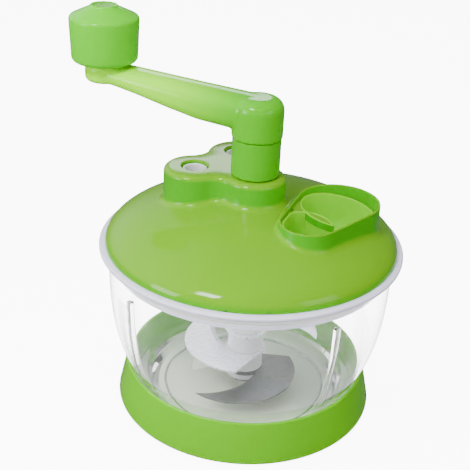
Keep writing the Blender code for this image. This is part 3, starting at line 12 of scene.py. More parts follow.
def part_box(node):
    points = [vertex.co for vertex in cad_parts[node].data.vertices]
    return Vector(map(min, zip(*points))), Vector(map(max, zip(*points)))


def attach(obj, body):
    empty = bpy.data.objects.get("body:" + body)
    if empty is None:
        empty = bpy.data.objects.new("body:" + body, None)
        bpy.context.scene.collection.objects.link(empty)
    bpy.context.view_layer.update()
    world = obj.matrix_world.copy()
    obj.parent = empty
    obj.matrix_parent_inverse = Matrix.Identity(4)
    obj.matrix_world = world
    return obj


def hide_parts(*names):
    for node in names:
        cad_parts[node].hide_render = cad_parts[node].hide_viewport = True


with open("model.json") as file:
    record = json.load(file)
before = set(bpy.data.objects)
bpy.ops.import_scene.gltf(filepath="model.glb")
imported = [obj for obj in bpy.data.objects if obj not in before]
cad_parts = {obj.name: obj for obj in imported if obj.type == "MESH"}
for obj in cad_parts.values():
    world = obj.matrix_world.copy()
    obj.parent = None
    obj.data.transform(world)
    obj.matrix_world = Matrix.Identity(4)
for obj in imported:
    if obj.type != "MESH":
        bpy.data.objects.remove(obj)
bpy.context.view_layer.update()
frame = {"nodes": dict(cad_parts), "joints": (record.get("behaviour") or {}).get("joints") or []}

MM = 0.001

# Heights and radii that the frame gives

DOME_LOW, DOME_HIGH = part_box("lid_dome")
TRAY_LOW, TRAY_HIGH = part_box("tray")
RING_LOW, RING_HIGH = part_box("base_ring")
PLATE_LOW, PLATE_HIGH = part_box("base_plate")
BOWL_LOW, BOWL_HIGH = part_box("bowl")
SLEEVE_LOW, SLEEVE_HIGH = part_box("crank_sleeve")
ARM_LOW, ARM_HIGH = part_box("crank_arm")
KNOB_LOW, KNOB_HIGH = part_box("knob")
CAP_LOW, CAP_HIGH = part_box("knob_cap")
CHUTE_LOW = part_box("feed_chute")[0]
SPINDLE_LOW, SPINDLE_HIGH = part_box("blade_spindle")
JOINT_PLACES = {joint["name"]: joint.get("pos_m") for joint in frame["joints"]}
KNOB_PLACE = tuple(JOINT_PLACES["knob_spin"][:2])
COUNTER_PLACES = {
    side: tuple(JOINT_PLACES[f"counter_{side}_spin"][:2]) for side in ("back", "front")
}

FIT = 0.3 * MM
AXIS_REACH = 0.001 * MM
WELD_REACH = 0.002 * MM
FLAT_TOLERANCE = 1e-7
EDGE_SHARE = 0.49
FINE_STEPS = 144
SMALL_STEPS = 72
CORNER_STEPS = 6
WALL_STEPS = 8


# Geometry tools

def polar(distance, angle, centre=(0.0, 0.0)):
    """Point at a distance and angle from a centre, as x and y."""
    return centre[0] + distance * cos(angle), centre[1] + distance * sin(angle)


def bearing(vector):
    """Angle of a vector, counted from the x axis."""
    return atan2(vector.y, vector.x)


def aligned(along, across, angle):
    """Point given along and across a direction, as x and y."""
    return along * cos(angle) - across * sin(angle), along * sin(angle) + across * cos(angle)


def quarter(steps):
    """Angles from zero to a quarter turn."""
    return [(pi / 2) * step / steps for step in range(steps + 1)]


def rounded(corners, closed=True):
    """Profile through (x, y, radius) corners, each rounded to its radius."""
    points = []
    count = len(corners)
    for index, (x, y, radius) in enumerate(corners):
        here = Vector((x, y))
        ends = not closed and index in (0, count - 1)
        if radius == 0.0 or ends:
            points.append((x, y))
            continue
        before = Vector(corners[index - 1][:2]) - here
        after = Vector(corners[(index + 1) % count][:2]) - here
        half = before.angle(after) / 2
        reach = min(radius / tan(half), before.length * EDGE_SHARE, after.length * EDGE_SHARE)
        radius = reach * tan(half)
        middle = here + (before.normalized() + after.normalized()).normalized() * (radius / sin(half))
        first = here + before.normalized() * reach - middle
        last = here + after.normalized() * reach - middle
        start = bearing(first)
        turn = (bearing(last) - start + pi) % (2 * pi) - pi
        for step in range(CORNER_STEPS + 1):
            points.append(polar(radius, start + turn * step / CORNER_STEPS, middle))
    return points


def placed(name, data):
    """A new object in the scene."""
    obj = bpy.data.objects.new(name, data)
    bpy.context.scene.collection.objects.link(obj)
    return obj


def new_piece(name, mesh, body, material, replaced=(), sharp=radians(35)):
    """Names and places a finished mesh, makes it ride on its body and gives it its material."""
    mesh.name = name
    obj = placed(name, mesh)
    mesh.materials.clear()
    mesh.materials.append(material)
    mesh.shade_smooth()
    mesh.set_sharp_from_angle(angle=sharp)
    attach(obj, body)
    if replaced:
        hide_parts(*replaced)
    return obj


def finished(shape):
    """Turns a bmesh into a mesh with its faces turned outwards."""
    bmesh.ops.remove_doubles(shape, verts=shape.verts, dist=WELD_REACH)
    bmesh.ops.recalc_face_normals(shape, faces=shape.faces)
    mesh = bpy.data.meshes.new("mesh")
    shape.to_mesh(mesh)
    shape.free()
    return mesh


def revolve(shape, profile, place=(0.0, 0.0), steps=FINE_STEPS, closed=True):
    """Adds a surface of revolution to a bmesh; a point on the axis closes it there."""
    rows = []
    for radius, height in profile:
        if radius < AXIS_REACH:
            rows.append([shape.verts.new((*place, height))])
            continue
        rows.append([
            shape.verts.new((*polar(radius, 2 * pi * step / steps, place), height)) for step in range(steps)
        ])
    pairs = list(zip(rows, rows[1:]))
    if closed:
        pairs.append((rows[-1], rows[0]))
    for one, other in pairs:
        if len(one) == len(other) == 1:
            continue
        for step in range(steps):
            corners = [one[turn % len(one)] for turn in (step, step + 1)]
            corners += [other[turn % len(other)] for turn in (step + 1, step)]
            shape.faces.new(dict.fromkeys(corners))
    return shape


def lathe(shape, corners, place=(0.0, 0.0), steps=FINE_STEPS):
    """Adds an open turned surface through (radius, height, rounding) corners."""
    return revolve(shape, rounded(corners, False), place, steps, False)


def turned(corners, place=(0.0, 0.0), steps=FINE_STEPS):
    """A turned ring from rounded (radius, height, rounding) corners."""
    return finished(revolve(bmesh.new(), rounded(corners), place, steps))


def drum(shape, radius, low, high, low_round, high_round, place=(0.0, 0.0), steps=FINE_STEPS):
    """Adds an upright drum with rounded edges."""
    return lathe(shape, [
        (0.0, high, 0.0),
        (radius, high, high_round),
        (radius, low, low_round),
        (0.0, low, 0.0),
    ], place, steps)


def level(outline, height):
    """An outline laid at one height."""
    return [(x, y, height) for x, y in outline]


def skin(shape, rings):
    """Adds a strip of faces between each ring of points and the next."""
    rows = [[shape.verts.new(point) for point in ring] for ring in rings]
    for one, other in zip(rows, rows[1:]):
        for step in range(len(one)):
            after = (step + 1) % len(one)
            shape.faces.new((one[step], one[after], other[after], other[step]))
    return rows


def rod(shape, rings):
    """Adds a skin and closes both its ends."""
    rows = skin(shape, rings)
    for row in (rows[0], rows[-1]):
        shape.faces.new(row)


def upright(shape, outline, *heights):
    """Adds an upright wall over an outline."""
    skin(shape, [level(outline, height) for height in heights])


def patch(shape, outer, holes, inner_points, height):
    """Adds a surface over a flat region with holes; height gives z for each x and y."""
    points = [Vector(point) for loop in (outer, *holes) for point in loop]
    edges = []
    start = 0
    for loop in (outer, *holes):
        edges += [(start + step, start + (step + 1) % len(loop)) for step in range(len(loop))]
        start += len(loop)
    points += [Vector(point) for point in inner_points]
    made = delaunay_2d_cdt(points, edges, [], 0, FLAT_TOLERANCE)
    verts = [shape.verts.new((point.x, point.y, height(point.x, point.y))) for point in made[0]]
    for face in made[2]:
        middle = sum((made[0][index] for index in face), Vector((0.0, 0.0))) / 3
        if inside(middle, outer) and not any(inside(middle, hole) for hole in holes):
            shape.faces.new([verts[index] for index in face])
    loose = [vert for vert in verts if not vert.link_faces]
    bmesh.ops.delete(shape, geom=loose, context="VERTS")


def flat(shape, outer, holes, height):
    """Adds a level face with holes."""
    patch(shape, outer, holes, [], lambda x, y: height)


def inside(point, loop):
    """True if a point lies inside a closed outline."""
    within = False
    before = loop[-1]
    for here in loop:
        if (here[1] > point[1]) != (before[1] > point[1]):
            cross = (before[0] - here[0]) * (point[1] - here[1]) / (before[1] - here[1]) + here[0]
            if point[0] < cross:
                within = not within
        before = here
    return within


def circle(radius, steps, centre=(0.0, 0.0)):
    """Points round a circle."""
    return [polar(radius, 2 * pi * step / steps, centre) for step in range(steps)]


def hexagon(half_width):
    """Corners of a hexagon with a given half width across its flats."""
    return circle(half_width / cos(pi / 6), 6)


# Materials

# Sockets of a colour Mix node
COLOUR_A = 6
COLOUR_B = 7
COLOUR_RESULT = 2

NOISE_LOW = 0.3
NOISE_HIGH = 0.7
FLOW_SHADES = (0.95, 1.05)
GRIND_SHADES = (0.85, 1.1)
FLOW_SCALE = 22.0
FLOW_STRETCH = (1.0, 1.0, 2.5)
GLOSS_SCALE = 260.0
SKIN_SCALE = 2600.0
SKIN_DEPTH = 0.02 * MM
GLOW_RADIUS = (0.5, 1.0, 0.1)
GLOW_DEPTH = 4 * MM
WAVE_SCALE = 35.0
WAVE_DEPTH = 0.05 * MM
HAZE_SCALE = 90.0
CLEAR_IOR = 1.46
GRIND_SCALE = 420.0
GRIND_DEPTH = 0.01 * MM
UPWARD = 0.6
BACKLIT_SHARE = 0.7


def feed(node, values):
    """Sets inputs of a shader node."""
    for socket, value in values.items():
        node.inputs[socket].default_value = value


def shader_of(name, colour, roughness, metallic=0.0):
    """A new material, its nodes, its links and its Principled shader."""
    material = bpy.data.materials.new(name)
    material.use_nodes = True
    nodes = material.node_tree.nodes
    shader = nodes["Principled BSDF"]
    feed(shader, {"Base Color": (*colour, 1.0), "Roughness": roughness, "Metallic": metallic})
    material.diffuse_color = (*colour, 1.0)
    return material, nodes, material.node_tree.links, shader


def noise(nodes, links, scale, detail=3.0, stretch=(1.0, 1.0, 1.0)):
    """A noise texture in the object's own metres."""
    place = nodes.new("ShaderNodeTexCoord")
    mapping = nodes.new("ShaderNodeMapping")
    feed(mapping, {"Scale": stretch})
    texture = nodes.new("ShaderNodeTexNoise")
    feed(texture, {"Scale": scale, "Detail": detail})
    links.new(place.outputs["Object"], mapping.inputs["Vector"])
    links.new(mapping.outputs["Vector"], texture.inputs["Vector"])
    return texture


def vary(nodes, links, texture, shader, roughness, low, high):
    """Varies the roughness between two shares of its value by a texture."""
    spread = nodes.new("ShaderNodeMapRange")
    feed(spread, {"From Min": NOISE_LOW, "From Max": NOISE_HIGH})
    feed(spread, {"To Min": roughness * low, "To Max": roughness * high})
    links.new(texture.outputs["Fac"], spread.inputs["Value"])
    links.new(spread.outputs["Result"], shader.inputs["Roughness"])


def colour_mix(nodes, first, second):
    """A node that blends two colours."""
    mix = nodes.new("ShaderNodeMix")
    mix.data_type = "RGBA"
    feed(mix, {COLOUR_A: (*first, 1.0), COLOUR_B: (*second, 1.0)})
    return mix


def tint(nodes, links, texture, shader, colour, shades):
    """Varies the base colour between two of its shades by a texture."""
    blend = colour_mix(nodes, *(shaded(colour, factor) for factor in shades))
    links.new(texture.outputs["Fac"], blend.inputs["Factor"])
    links.new(blend.outputs[COLOUR_RESULT], shader.inputs["Base Color"])


def relief(nodes, links, texture, shader, depth, strength):
    """Raises a texture as bump on a shader."""
    bump = nodes.new("ShaderNodeBump")
    feed(bump, {"Strength": strength, "Distance": depth})
    links.new(texture.outputs["Fac"], bump.inputs["Height"])
    links.new(bump.outputs["Normal"], shader.inputs["Normal"])


def shaded(colour, factor):
    """A colour made lighter or darker."""
    return tuple(min(1.0, part * factor) for part in colour)


def moulded(name, colour, roughness, gloss=0.2, glow=0.0):
    """Moulded plastic: faint flow marks in colour and gloss, and a very fine moulded skin."""
    material, nodes, links, shader = shader_of(name, colour, roughness)
    flow = noise(nodes, links, FLOW_SCALE, 4.0, FLOW_STRETCH)
    tint(nodes, links, flow, shader, colour, FLOW_SHADES)
    vary(nodes, links, noise(nodes, links, GLOSS_SCALE), shader, roughness, 0.85, 1.2)
    relief(nodes, links, noise(nodes, links, SKIN_SCALE, 2.0), shader, SKIN_DEPTH, 0.15)
    feed(shader, {"Specular IOR Level": gloss, "Subsurface Weight": glow})
    feed(shader, {"Subsurface Radius": GLOW_RADIUS, "Subsurface Scale": GLOW_DEPTH})
    return material


def eased(nodes, links, value, low, high):
    """A node that eases from 0 to 1 while a value goes from low to high."""
    ease = nodes.new("ShaderNodeMapRange")
    ease.interpolation_type = "SMOOTHSTEP"
    feed(ease, {"From Min": low, "From Max": high})
    links.new(value, ease.inputs["Value"])
    return ease


def measured(nodes, links, vector, direction):
    """The length of a vector along a direction, as a node's output."""
    along = nodes.new("ShaderNodeVectorMath")
    along.operation = "DOT_PRODUCT"
    feed(along, {1: direction.normalized()})
    links.new(vector, along.inputs[0])
    return along.outputs["Value"]


def two_tones(material, ease, first, second):
    """Gives a moulded material two colours, blended by an easing node."""
    nodes = material.node_tree.nodes
    links = material.node_tree.links
    blend = next(node for node in nodes if node.bl_idname == "ShaderNodeMix")
    for socket, factor in zip((COLOUR_A, COLOUR_B), FLOW_SHADES):
        mix = colour_mix(nodes, shaded(first, factor), shaded(second, factor))
        links.new(ease.outputs["Result"], mix.inputs["Factor"])
        links.new(mix.outputs[COLOUR_RESULT], blend.inputs[socket])


def painted_shade_on_sides(material, side, top):
    """Paints shade on upright faces: they get a deeper green than the faces that look up."""
    nodes = material.node_tree.nodes
    links = material.node_tree.links
    normal = nodes.new("ShaderNodeNewGeometry").outputs["Normal"]
    upward = measured(nodes, links, normal, Vector((0.0, 0.0, 1.0)))
    two_tones(material, eased(nodes, links, upward, 0.0, UPWARD), side, top)


def backlit_arm(material, root, end):
    """Makes the thinner end of the arm a lighter, yellower green, as light through it does."""
    nodes = material.node_tree.nodes
    links = material.node_tree.links
    place = nodes.new("ShaderNodeTexCoord").outputs["Object"]
    reach = Vector((*KNOB_PLACE, 0.0))
    outward = measured(nodes, links, place, reach)
    two_tones(material, eased(nodes, links, outward, 0.0, BACKLIT_SHARE * reach.length), root, end)


def clear_plastic(name, colour, roughness):
    """Clear polished plastic with slight waviness from the mould."""
    material, nodes, links, shader = shader_of(name, colour, roughness)
    feed(shader, {"Transmission Weight": 1.0, "IOR": CLEAR_IOR})
    vary(nodes, links, noise(nodes, links, HAZE_SCALE), shader, roughness, 0.5, 1.5)
    relief(nodes, links, noise(nodes, links, WAVE_SCALE, 1.0), shader, WAVE_DEPTH, 0.3)
    return material


def steel(name, colour, roughness, stretch, metallic=1.0):
    """Ground or turned steel: fine lines along one direction, with uneven shine."""
    material, nodes, links, shader = shader_of(name, colour, roughness, metallic)
    lines = noise(nodes, links, GRIND_SCALE, 4.0, stretch)
    tint(nodes, links, lines, shader, colour, GRIND_SHADES)
    vary(nodes, links, lines, shader, roughness, 0.7, 1.4)
    relief(nodes, links, lines, shader, GRIND_DEPTH, 0.25)
    return material


LID_GREEN = moulded("lid_green", (0.14, 0.36, 0.0), 0.09)
# painted shade: the lid's upright walls get a deeper green than its faces that look up
painted_shade_on_sides(LID_GREEN, (0.05, 0.34, 0.0), (0.13, 0.36, 0.0))
# painted light: the chute gets a lighter green than the lid, for light that shines through the hopper's thin
# walls
LIT_CHUTE_GREEN = moulded("chute_green", (0.2, 0.6, 0.0), 0.12)
BASE_GREEN = moulded("base_green", (0.12, 0.46, 0.0), 0.15, glow=0.3)
KNOB_GREEN = moulded("knob_green", (0.1, 0.6, 0.0), 0.16)
CRANK_GREEN = moulded("crank_green", (0.065, 0.40, 0.0), 0.12)
ARM_GREEN = moulded("arm_green", (0.12, 0.66, 0.0), 0.12)
backlit_arm(ARM_GREEN, (0.075, 0.44, 0.0), (0.32, 0.9, 0.0))
# painted shade: the cap, sunk in the knob's recess, gets a darker green than the knob
SHADED_CAP_GREEN = moulded("cap_green", (0.09, 0.42, 0.0), 0.3)
TRAY_WHITE = moulded("tray_white", (0.8, 0.78, 0.95), 0.3)
# painted light: the plate's white is tinted green for the light it takes from the green ring round it
GREEN_LIT_PLATE_WHITE = moulded("plate_white", (0.84, 0.93, 0.74), 0.55)
SPINDLE_WHITE = moulded("spindle_white", (0.66, 0.66, 0.70), 0.3)
JOURNAL_WHITE = moulded("journal_white", (0.82, 0.82, 0.84), 0.35)
GEAR_WHITE = moulded("gear_white", (0.80, 0.79, 0.75), 0.45)
SEAL_WHITE = moulded("seal_white", (0.80, 0.80, 0.80), 0.7)
BOWL_CLEAR = clear_plastic("bowl_clear", (0.98, 0.99, 0.98), 0.004)
SCALE_INK = moulded("scale_ink", (0.16, 0.42, 0.08), 0.5)
ACROSS_BLADE = (1.0, 6.0, 1.0)
ROUND_TURNING = (1.0, 1.0, 9.0)
# painted shade and light: the lower blade gets a dark, shaded copy of the blade steel and the others a
# bright, lit copy of it
SHADED_BLADE_STEEL = steel("blade_steel", (0.19, 0.195, 0.19), 0.32, ACROSS_BLADE)
LIT_BLADE_STEEL = steel("bright_steel", (0.86, 0.86, 0.90), 0.3, ACROSS_BLADE, 0.45)
TURNED_STEEL = steel("turned_steel", (0.62, 0.62, 0.64), 0.3, ROUND_TURNING)


# Base

def make_base():
    """The flared green ring and the white plate inside it."""
    mouth = 71.7 * MM
    wall = 2.1 * MM
    foot = RING_HIGH.x
    foot_edge = RING_LOW.z + 1.2 * MM
    foot_bevel = 1.6 * MM
    seat = PLATE_HIGH.x + FIT
    ledge = 4 * MM
    ledge_under = PLATE_HIGH.z + FIT
    mesh = turned([
        (mouth, RING_HIGH.z, 0.6 * MM),
        (mouth + wall, RING_HIGH.z, 0.8 * MM),
        (foot, foot_edge, 2.2 * MM),
        (foot - foot_bevel, RING_LOW.z, 1.0 * MM),
        (seat, RING_LOW.z, 0.2 * MM),
        (seat, ledge_under, 0.0),
        (seat - ledge, ledge_under, 0.3 * MM),
        (seat - ledge, ledge_under + ledge / 2, 0.3 * MM),
        (seat - ledge / 4, ledge_under + ledge, 1.0 * MM),
    ])
    new_piece("ring", mesh, "base", BASE_GREEN, ["base_ring"])
    mesh = finished(drum(bmesh.new(), PLATE_HIGH.x, PLATE_LOW.z, PLATE_HIGH.z, 0.8 * MM, 0.4 * MM))
    new_piece("plate", mesh, "base", GREEN_LIT_PLATE_WHITE, ["base_plate"])


# Bowl

BOWL_DRAW_IN = 29.5 * MM
BOWL_CURVE_POWER = 3.2
BOWL_WALL = 2.4 * MM
BOWL_FLOOR_Z = BOWL_LOW.z + 5.6 * MM
BOWL_CORNER = 6 * MM
BOWL_ROWS = 48
RIB_COUNT = 4
RIB_ANGLE = radians(-53)
RIB_GAP = 14 * MM
RIB_DEPTH = 3 * MM
RIB_HALF_LOW = 0.6 * MM
RIB_HALF_HIGH = 2.1 * MM
RIB_SINK = 0.05 * MM
RIB_HEAD = 0.97
RIB_FOOT = 0.02
RIB_ROWS = 40
RIB_AROUND = 16
SCALE_ANGLE = radians(-152)
SCALE_LOW = 30 * MM
SCALE_HIGH = 84 * MM
SCALE_MARKS = 30
SCALE_GROUP = 5
SCALE_LONG = 15 * MM
SCALE_SHORT = 9 * MM
SCALE_LINE = 0.45 * MM
SCALE_GAP = 0.02 * MM
SCALE_THICK = 0.06 * MM
SCALE_STEPS = 6


def bowl_radius(height):
    """Outer radius of the bowl at a height."""
    fall = (BOWL_HIGH.z - height) / (BOWL_HIGH.z - BOWL_LOW.z)
    return BOWL_HIGH.x - BOWL_DRAW_IN * max(0.0, fall) ** BOWL_CURVE_POWER


def bowl_side(lowest, inset):
    """Corners down one side of the bowl's wall, from its mouth to a lowest height."""
    side = []
    for row in range(BOWL_ROWS + 1):
        height = BOWL_HIGH.z + (lowest - BOWL_HIGH.z) * row / BOWL_ROWS
        side.append((bowl_radius(height) - inset, height, 0.0))
    side[0] = (*side[0][:2], 0.6 * MM)
    return side


def make_bowl():
    """The clear bowl with its floor, boss and mixing ribs, and the scale on it."""
    outer = bowl_side(BOWL_LOW.z, 0.0)
    inner = bowl_side(BOWL_FLOOR_Z + BOWL_CORNER, BOWL_WALL)
    outer[-1] = (*outer[-1][:2], 0.8 * MM)
    foot = outer[-1][0]
    foot_width = 4 * MM
    hollow = BOWL_LOW.z + 3 * MM
    boss = 6.5 * MM
    boss_top = BOWL_FLOOR_Z + 3.5 * MM
    seat = 2.8 * MM
    under = [
        (foot - foot_width, BOWL_LOW.z, 0.8 * MM),
        (foot - foot_width - 0.5 * MM, hollow, 1.5 * MM),
        (0.0, hollow, 0.0),
    ]
    floor = [
        (0.0, boss_top - seat, 0.0),
        (seat, boss_top - seat, 0.0),
        (seat, boss_top, 0.2 * MM),
        (boss, boss_top, 0.5 * MM),
        (boss + 0.6 * MM, BOWL_FLOOR_Z, 1.0 * MM),
        (inner[-1][0] - 0.2 * MM, BOWL_FLOOR_Z, 5.8 * MM),
    ]
    mesh = finished(lathe(bmesh.new(), floor + inner[::-1] + outer + under))
    shell = new_piece("bowl_shell", mesh, "base", BOWL_CLEAR, ["bowl"])
    shell.visible_shadow = False
    for count in range(RIB_COUNT):
        make_rib(count)
    make_scale()


def make_scale():
    """Fine printed marks of a measuring scale on the outside of the bowl, without numbers."""
    shape = bmesh.new()
    for count in range(SCALE_MARKS + 1):
        height = SCALE_LOW + (SCALE_HIGH - SCALE_LOW) * count / SCALE_MARKS
        length = SCALE_LONG if count % SCALE_GROUP == 0 else SCALE_SHORT
        spread = length / (bowl_radius(height) + SCALE_GAP)
        rings = []
        for step in range(SCALE_STEPS + 1):
            angle = SCALE_ANGLE + spread * step / SCALE_STEPS
            ring = []
            for proud, rise in ((0.0, -1), (SCALE_THICK, -1), (SCALE_THICK, 1), (0.0, 1)):
                z = height + rise * SCALE_LINE / 2
                ring.append((*polar(bowl_radius(z) + SCALE_GAP + proud, angle), z))
            rings.append(ring)
        rod(shape, rings)
    new_piece("bowl_scale", finished(shape), "base", SCALE_INK)


def rib_ring(rise, angle):
    """Drop-shaped section of a rib at a share of its height."""
    low = BOWL_FLOOR_Z + RIB_GAP
    high = BOWL_HIGH.z - RIB_GAP
    height = low + (high - low) * rise
    head = max(0.0, rise - RIB_HEAD) / (1 - RIB_HEAD)
    full = sqrt(max(0.0, 1 - head ** 2)) * sqrt(min(1.0, rise / RIB_FOOT))
    half = (RIB_HALF_LOW + (RIB_HALF_HIGH - RIB_HALF_LOW) * rise) * full
    depth = RIB_DEPTH * (0.25 + 0.75 * sin(pi / 2 * min(1.0, rise * 1.6))) * full
    wall = bowl_radius(height) - BOWL_WALL + RIB_SINK
    ring = []
    for step in range(RIB_AROUND):
        turn = 2 * pi * step / RIB_AROUND
        inward = max(0.0, cos(turn)) ** 0.7 * depth
        outward = max(0.0, -cos(turn)) * 2 * RIB_SINK
        ring.append((*aligned(wall - inward + outward, sin(turn) * half, angle), height))
    return ring


def make_rib(count):
    """A drop-shaped upright rib on the inside of the bowl."""
    angle = RIB_ANGLE + 2 * pi * count / RIB_COUNT
    shape = bmesh.new()
    rod(shape, [rib_ring(row / RIB_ROWS, angle) for row in range(RIB_ROWS + 1)])
    rib = new_piece(f"bowl_rib_{count + 1}", finished(shape), "base", BOWL_CLEAR)
    rib.visible_shadow = False


# Blades

EYE_RADIUS = 12.5 * MM
BLADE_BACK = (Vector((-5 * MM, -5 * MM)), 37 * MM, radians(25))
BLADE_HOLLOW = (Vector((-27 * MM, 2 * MM)), 35.5 * MM)
BLADE_BEVEL = 3 * MM
BACK_STEPS = 60
HOLLOW_STEPS = 48
STEM_HALF_WIDTH = 6 * MM
HEAD_HALF_WIDTH = 5 * MM
COLLAR_BORE = 7.2 * MM


def crossing(first, first_radius, second, second_radius):
    """Point where two circles cross, left of the line from the first to the second."""
    between = second - first
    along = (first_radius ** 2 - second_radius ** 2 + between.length_squared) / (2 * between.length)
    across = sqrt(max(0.0, first_radius ** 2 - along ** 2))
    ahead = between.normalized()
    return first + ahead * along + Vector((-ahead.y, ahead.x)) * across


def arc(centre, radius, start, turn, steps):
    """Points along an arc, its ends included."""
    return [polar(radius, start + turn * step / steps, centre) for step in range(steps + 1)]


def straight(start, end, steps):
    """Points along a straight line, its ends left out."""
    return [tuple(Vector(start).lerp(Vector(end), step / steps)) for step in range(1, steps)]


def blade_outline(bevel):
    """The sickle seen from above, its hollow edge drawn back by a bevel."""
    back_centre, back_radius, back_start = BLADE_BACK
    hollow_centre, hollow_radius = BLADE_HOLLOW
    hollow_radius += bevel
    tip = crossing(back_centre, back_radius, hollow_centre, hollow_radius)
    neck = crossing(Vector((0.0, 0.0)), EYE_RADIUS, hollow_centre, hollow_radius)
    back = arc(back_centre, back_radius, back_start, bearing(tip - back_centre) - back_start, BACK_STEPS)
    start = bearing(tip - hollow_centre)
    turn = bearing(neck - hollow_centre) - start
    hollow = arc(hollow_centre, hollow_radius, start, turn, HOLLOW_STEPS)
    root = Vector(back[0])
    touch = bearing(root) + acos(EYE_RADIUS / root.length)
    start = bearing(neck)
    eye = arc((0.0, 0.0), EYE_RADIUS, start, touch - 2 * pi - start, HOLLOW_STEPS)
    return back + hollow[1:] + eye[1:]


def make_blade(word, turn):
    """One sickle blade with its ground hollow edge and its hexagonal hole."""
    node = "blade_" + word
    low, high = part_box(node)
    hole = hexagon(STEM_HALF_WIDTH + FIT)
    under = blade_outline(0.0)
    upper = blade_outline(BLADE_BEVEL + 0.15 * MM)
    shape = bmesh.new()
    skin(shape, [
        level(under, low.z),
        level(under, low.z + 0.25 * MM),
        level(blade_outline(BLADE_BEVEL), high.z - 0.1 * MM),
        level(upper, high.z),
    ])
    upright(shape, hole, low.z, high.z)
    flat(shape, under, [hole], low.z)
    flat(shape, upper, [hole], high.z)
    bmesh.ops.rotate(shape, verts=shape.verts, cent=(0, 0, 0), matrix=Matrix.Rotation(turn, 3, "Z"))
    # painted shade: the lower blade takes the dark shaded steel, the others the lit steel
    lit_or_shaded_steel = SHADED_BLADE_STEEL if word == "lower" else LIT_BLADE_STEEL
    new_piece(node + "_steel", finished(shape), "blades", lit_or_shaded_steel, [node], radians(12))


def make_collar(name, node, top_round, foot_round):
    """A white collar on the spindle's stem."""
    low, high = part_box(node)
    mesh = turned([
        (COLLAR_BORE, high.z, 0.2 * MM),
        (high.x, high.z, top_round),
        (high.x, low.z, foot_round),
        (COLLAR_BORE, low.z, 0.2 * MM),
    ], steps=SMALL_STEPS)
    new_piece(name, mesh, "blades", SPINDLE_WHITE, [node])


def make_spindle():
    """The spindle: hexagonal stem, round body and hexagonal head."""
    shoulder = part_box("blade_upper")[1].z + FIT
    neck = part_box("output_gear")[0].z - 1.3 * MM
    head = hexagon(HEAD_HALF_WIDTH)
    shape = bmesh.new()
    upright(shape, head, neck, SPINDLE_HIGH.z)
    flat(shape, head, [], SPINDLE_HIGH.z)
    upright(shape, hexagon(STEM_HALF_WIDTH), SPINDLE_LOW.z, shoulder)
    drum(shape, SPINDLE_HIGH.x, shoulder, neck, 0.5 * MM, 1.5 * MM, steps=SMALL_STEPS)
    mesh = finished(shape)
    new_piece("spindle", mesh, "blades", SPINDLE_WHITE, ["blade_spindle"], radians(25))


def make_blades():
    """The spindle with its blades, spacers and foot."""
    for count, word in enumerate(("lower", "middle", "upper")):
        make_blade(word, -2 * pi * count / 3)
    for word in ("lower", "middle"):
        make_collar("spacer_" + word, "blade_spacer_" + word, 0.7 * MM, 0.7 * MM)
    make_collar("spindle_foot", "blade_foot", 0.6 * MM, 1.2 * MM)
    make_spindle()


# Lid: tray and seal

def make_tray():
    """The white tray: its rim shows between dome and bowl, and its plug reaches into the bowl."""
    rim_under = BOWL_HIGH.z + FIT
    rim_top = DOME_LOW.z - FIT
    rim = TRAY_HIGH.x
    rim_flat = rim - 4 * MM
    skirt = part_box("seal_ring")[1].x - 2 * MM
    skirt_inside = skirt - 2 * MM
    bead = skirt + 0.85 * MM
    bead_top = TRAY_LOW.z + 2.5 * MM
    under_flat = skirt - 4 * MM
    bore = 12.3 * MM
    sleeve = 14.5 * MM
    sleeve_foot = rim_under - 4.5 * MM
    sleeve_flare = sleeve + 0.8 * MM
    chute = keyhole(CHUTE_WALL + FIT)
    shape = bmesh.new()
    lathe(shape, [
        (rim_flat, rim_top, 0.0),
        (rim, rim_top, 1.25 * MM),
        (rim, rim_under, 1.25 * MM),
        (skirt, rim_under, 0.3 * MM),
        (skirt, bead_top, 0.2 * MM),
        (bead, bead_top, 0.2 * MM),
        (bead, TRAY_LOW.z, 0.5 * MM),
        (skirt_inside, TRAY_LOW.z, 0.5 * MM),
        (skirt_inside, rim_under, 1.0 * MM),
        (under_flat, rim_under, 0.0),
    ])
    flat(shape, circle(rim_flat, FINE_STEPS), [circle(bore, SMALL_STEPS), chute], rim_top)
    flat(shape, circle(under_flat, FINE_STEPS), [circle(sleeve_flare, SMALL_STEPS), chute], rim_under)
    upright(shape, chute, rim_under, rim_top)
    lathe(shape, [
        (bore, rim_top, 0.0),
        (bore, sleeve_foot, 0.3 * MM),
        (sleeve, sleeve_foot, 0.5 * MM),
        (sleeve, rim_under, 0.8 * MM),
        (sleeve_flare, rim_under, 0.0),
    ], steps=SMALL_STEPS)
    new_piece("tray_shell", finished(shape), "lid", TRAY_WHITE, ["tray"])
    make_seal(skirt + FIT)


def make_seal(inner):
    """The seal ring round the plug, with two soft lips."""
    low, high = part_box("seal_ring")
    lip = 1.0 * MM
    groove = high.x - lip / 2
    mesh = turned([
        (inner, high.z, 0.2 * MM),
        (groove, high.z, 0.4 * MM),
        (high.x, high.z - lip, 0.3 * MM),
        (groove, (low.z + high.z) / 2, 0.3 * MM),
        (high.x, low.z + lip, 0.3 * MM),
        (groove, low.z, 0.4 * MM),
        (inner, low.z, 0.2 * MM),
    ])
    new_piece("seal", mesh, "lid", SEAL_WHITE, ["seal_ring"])


# Lid: dome, gear housing, hopper

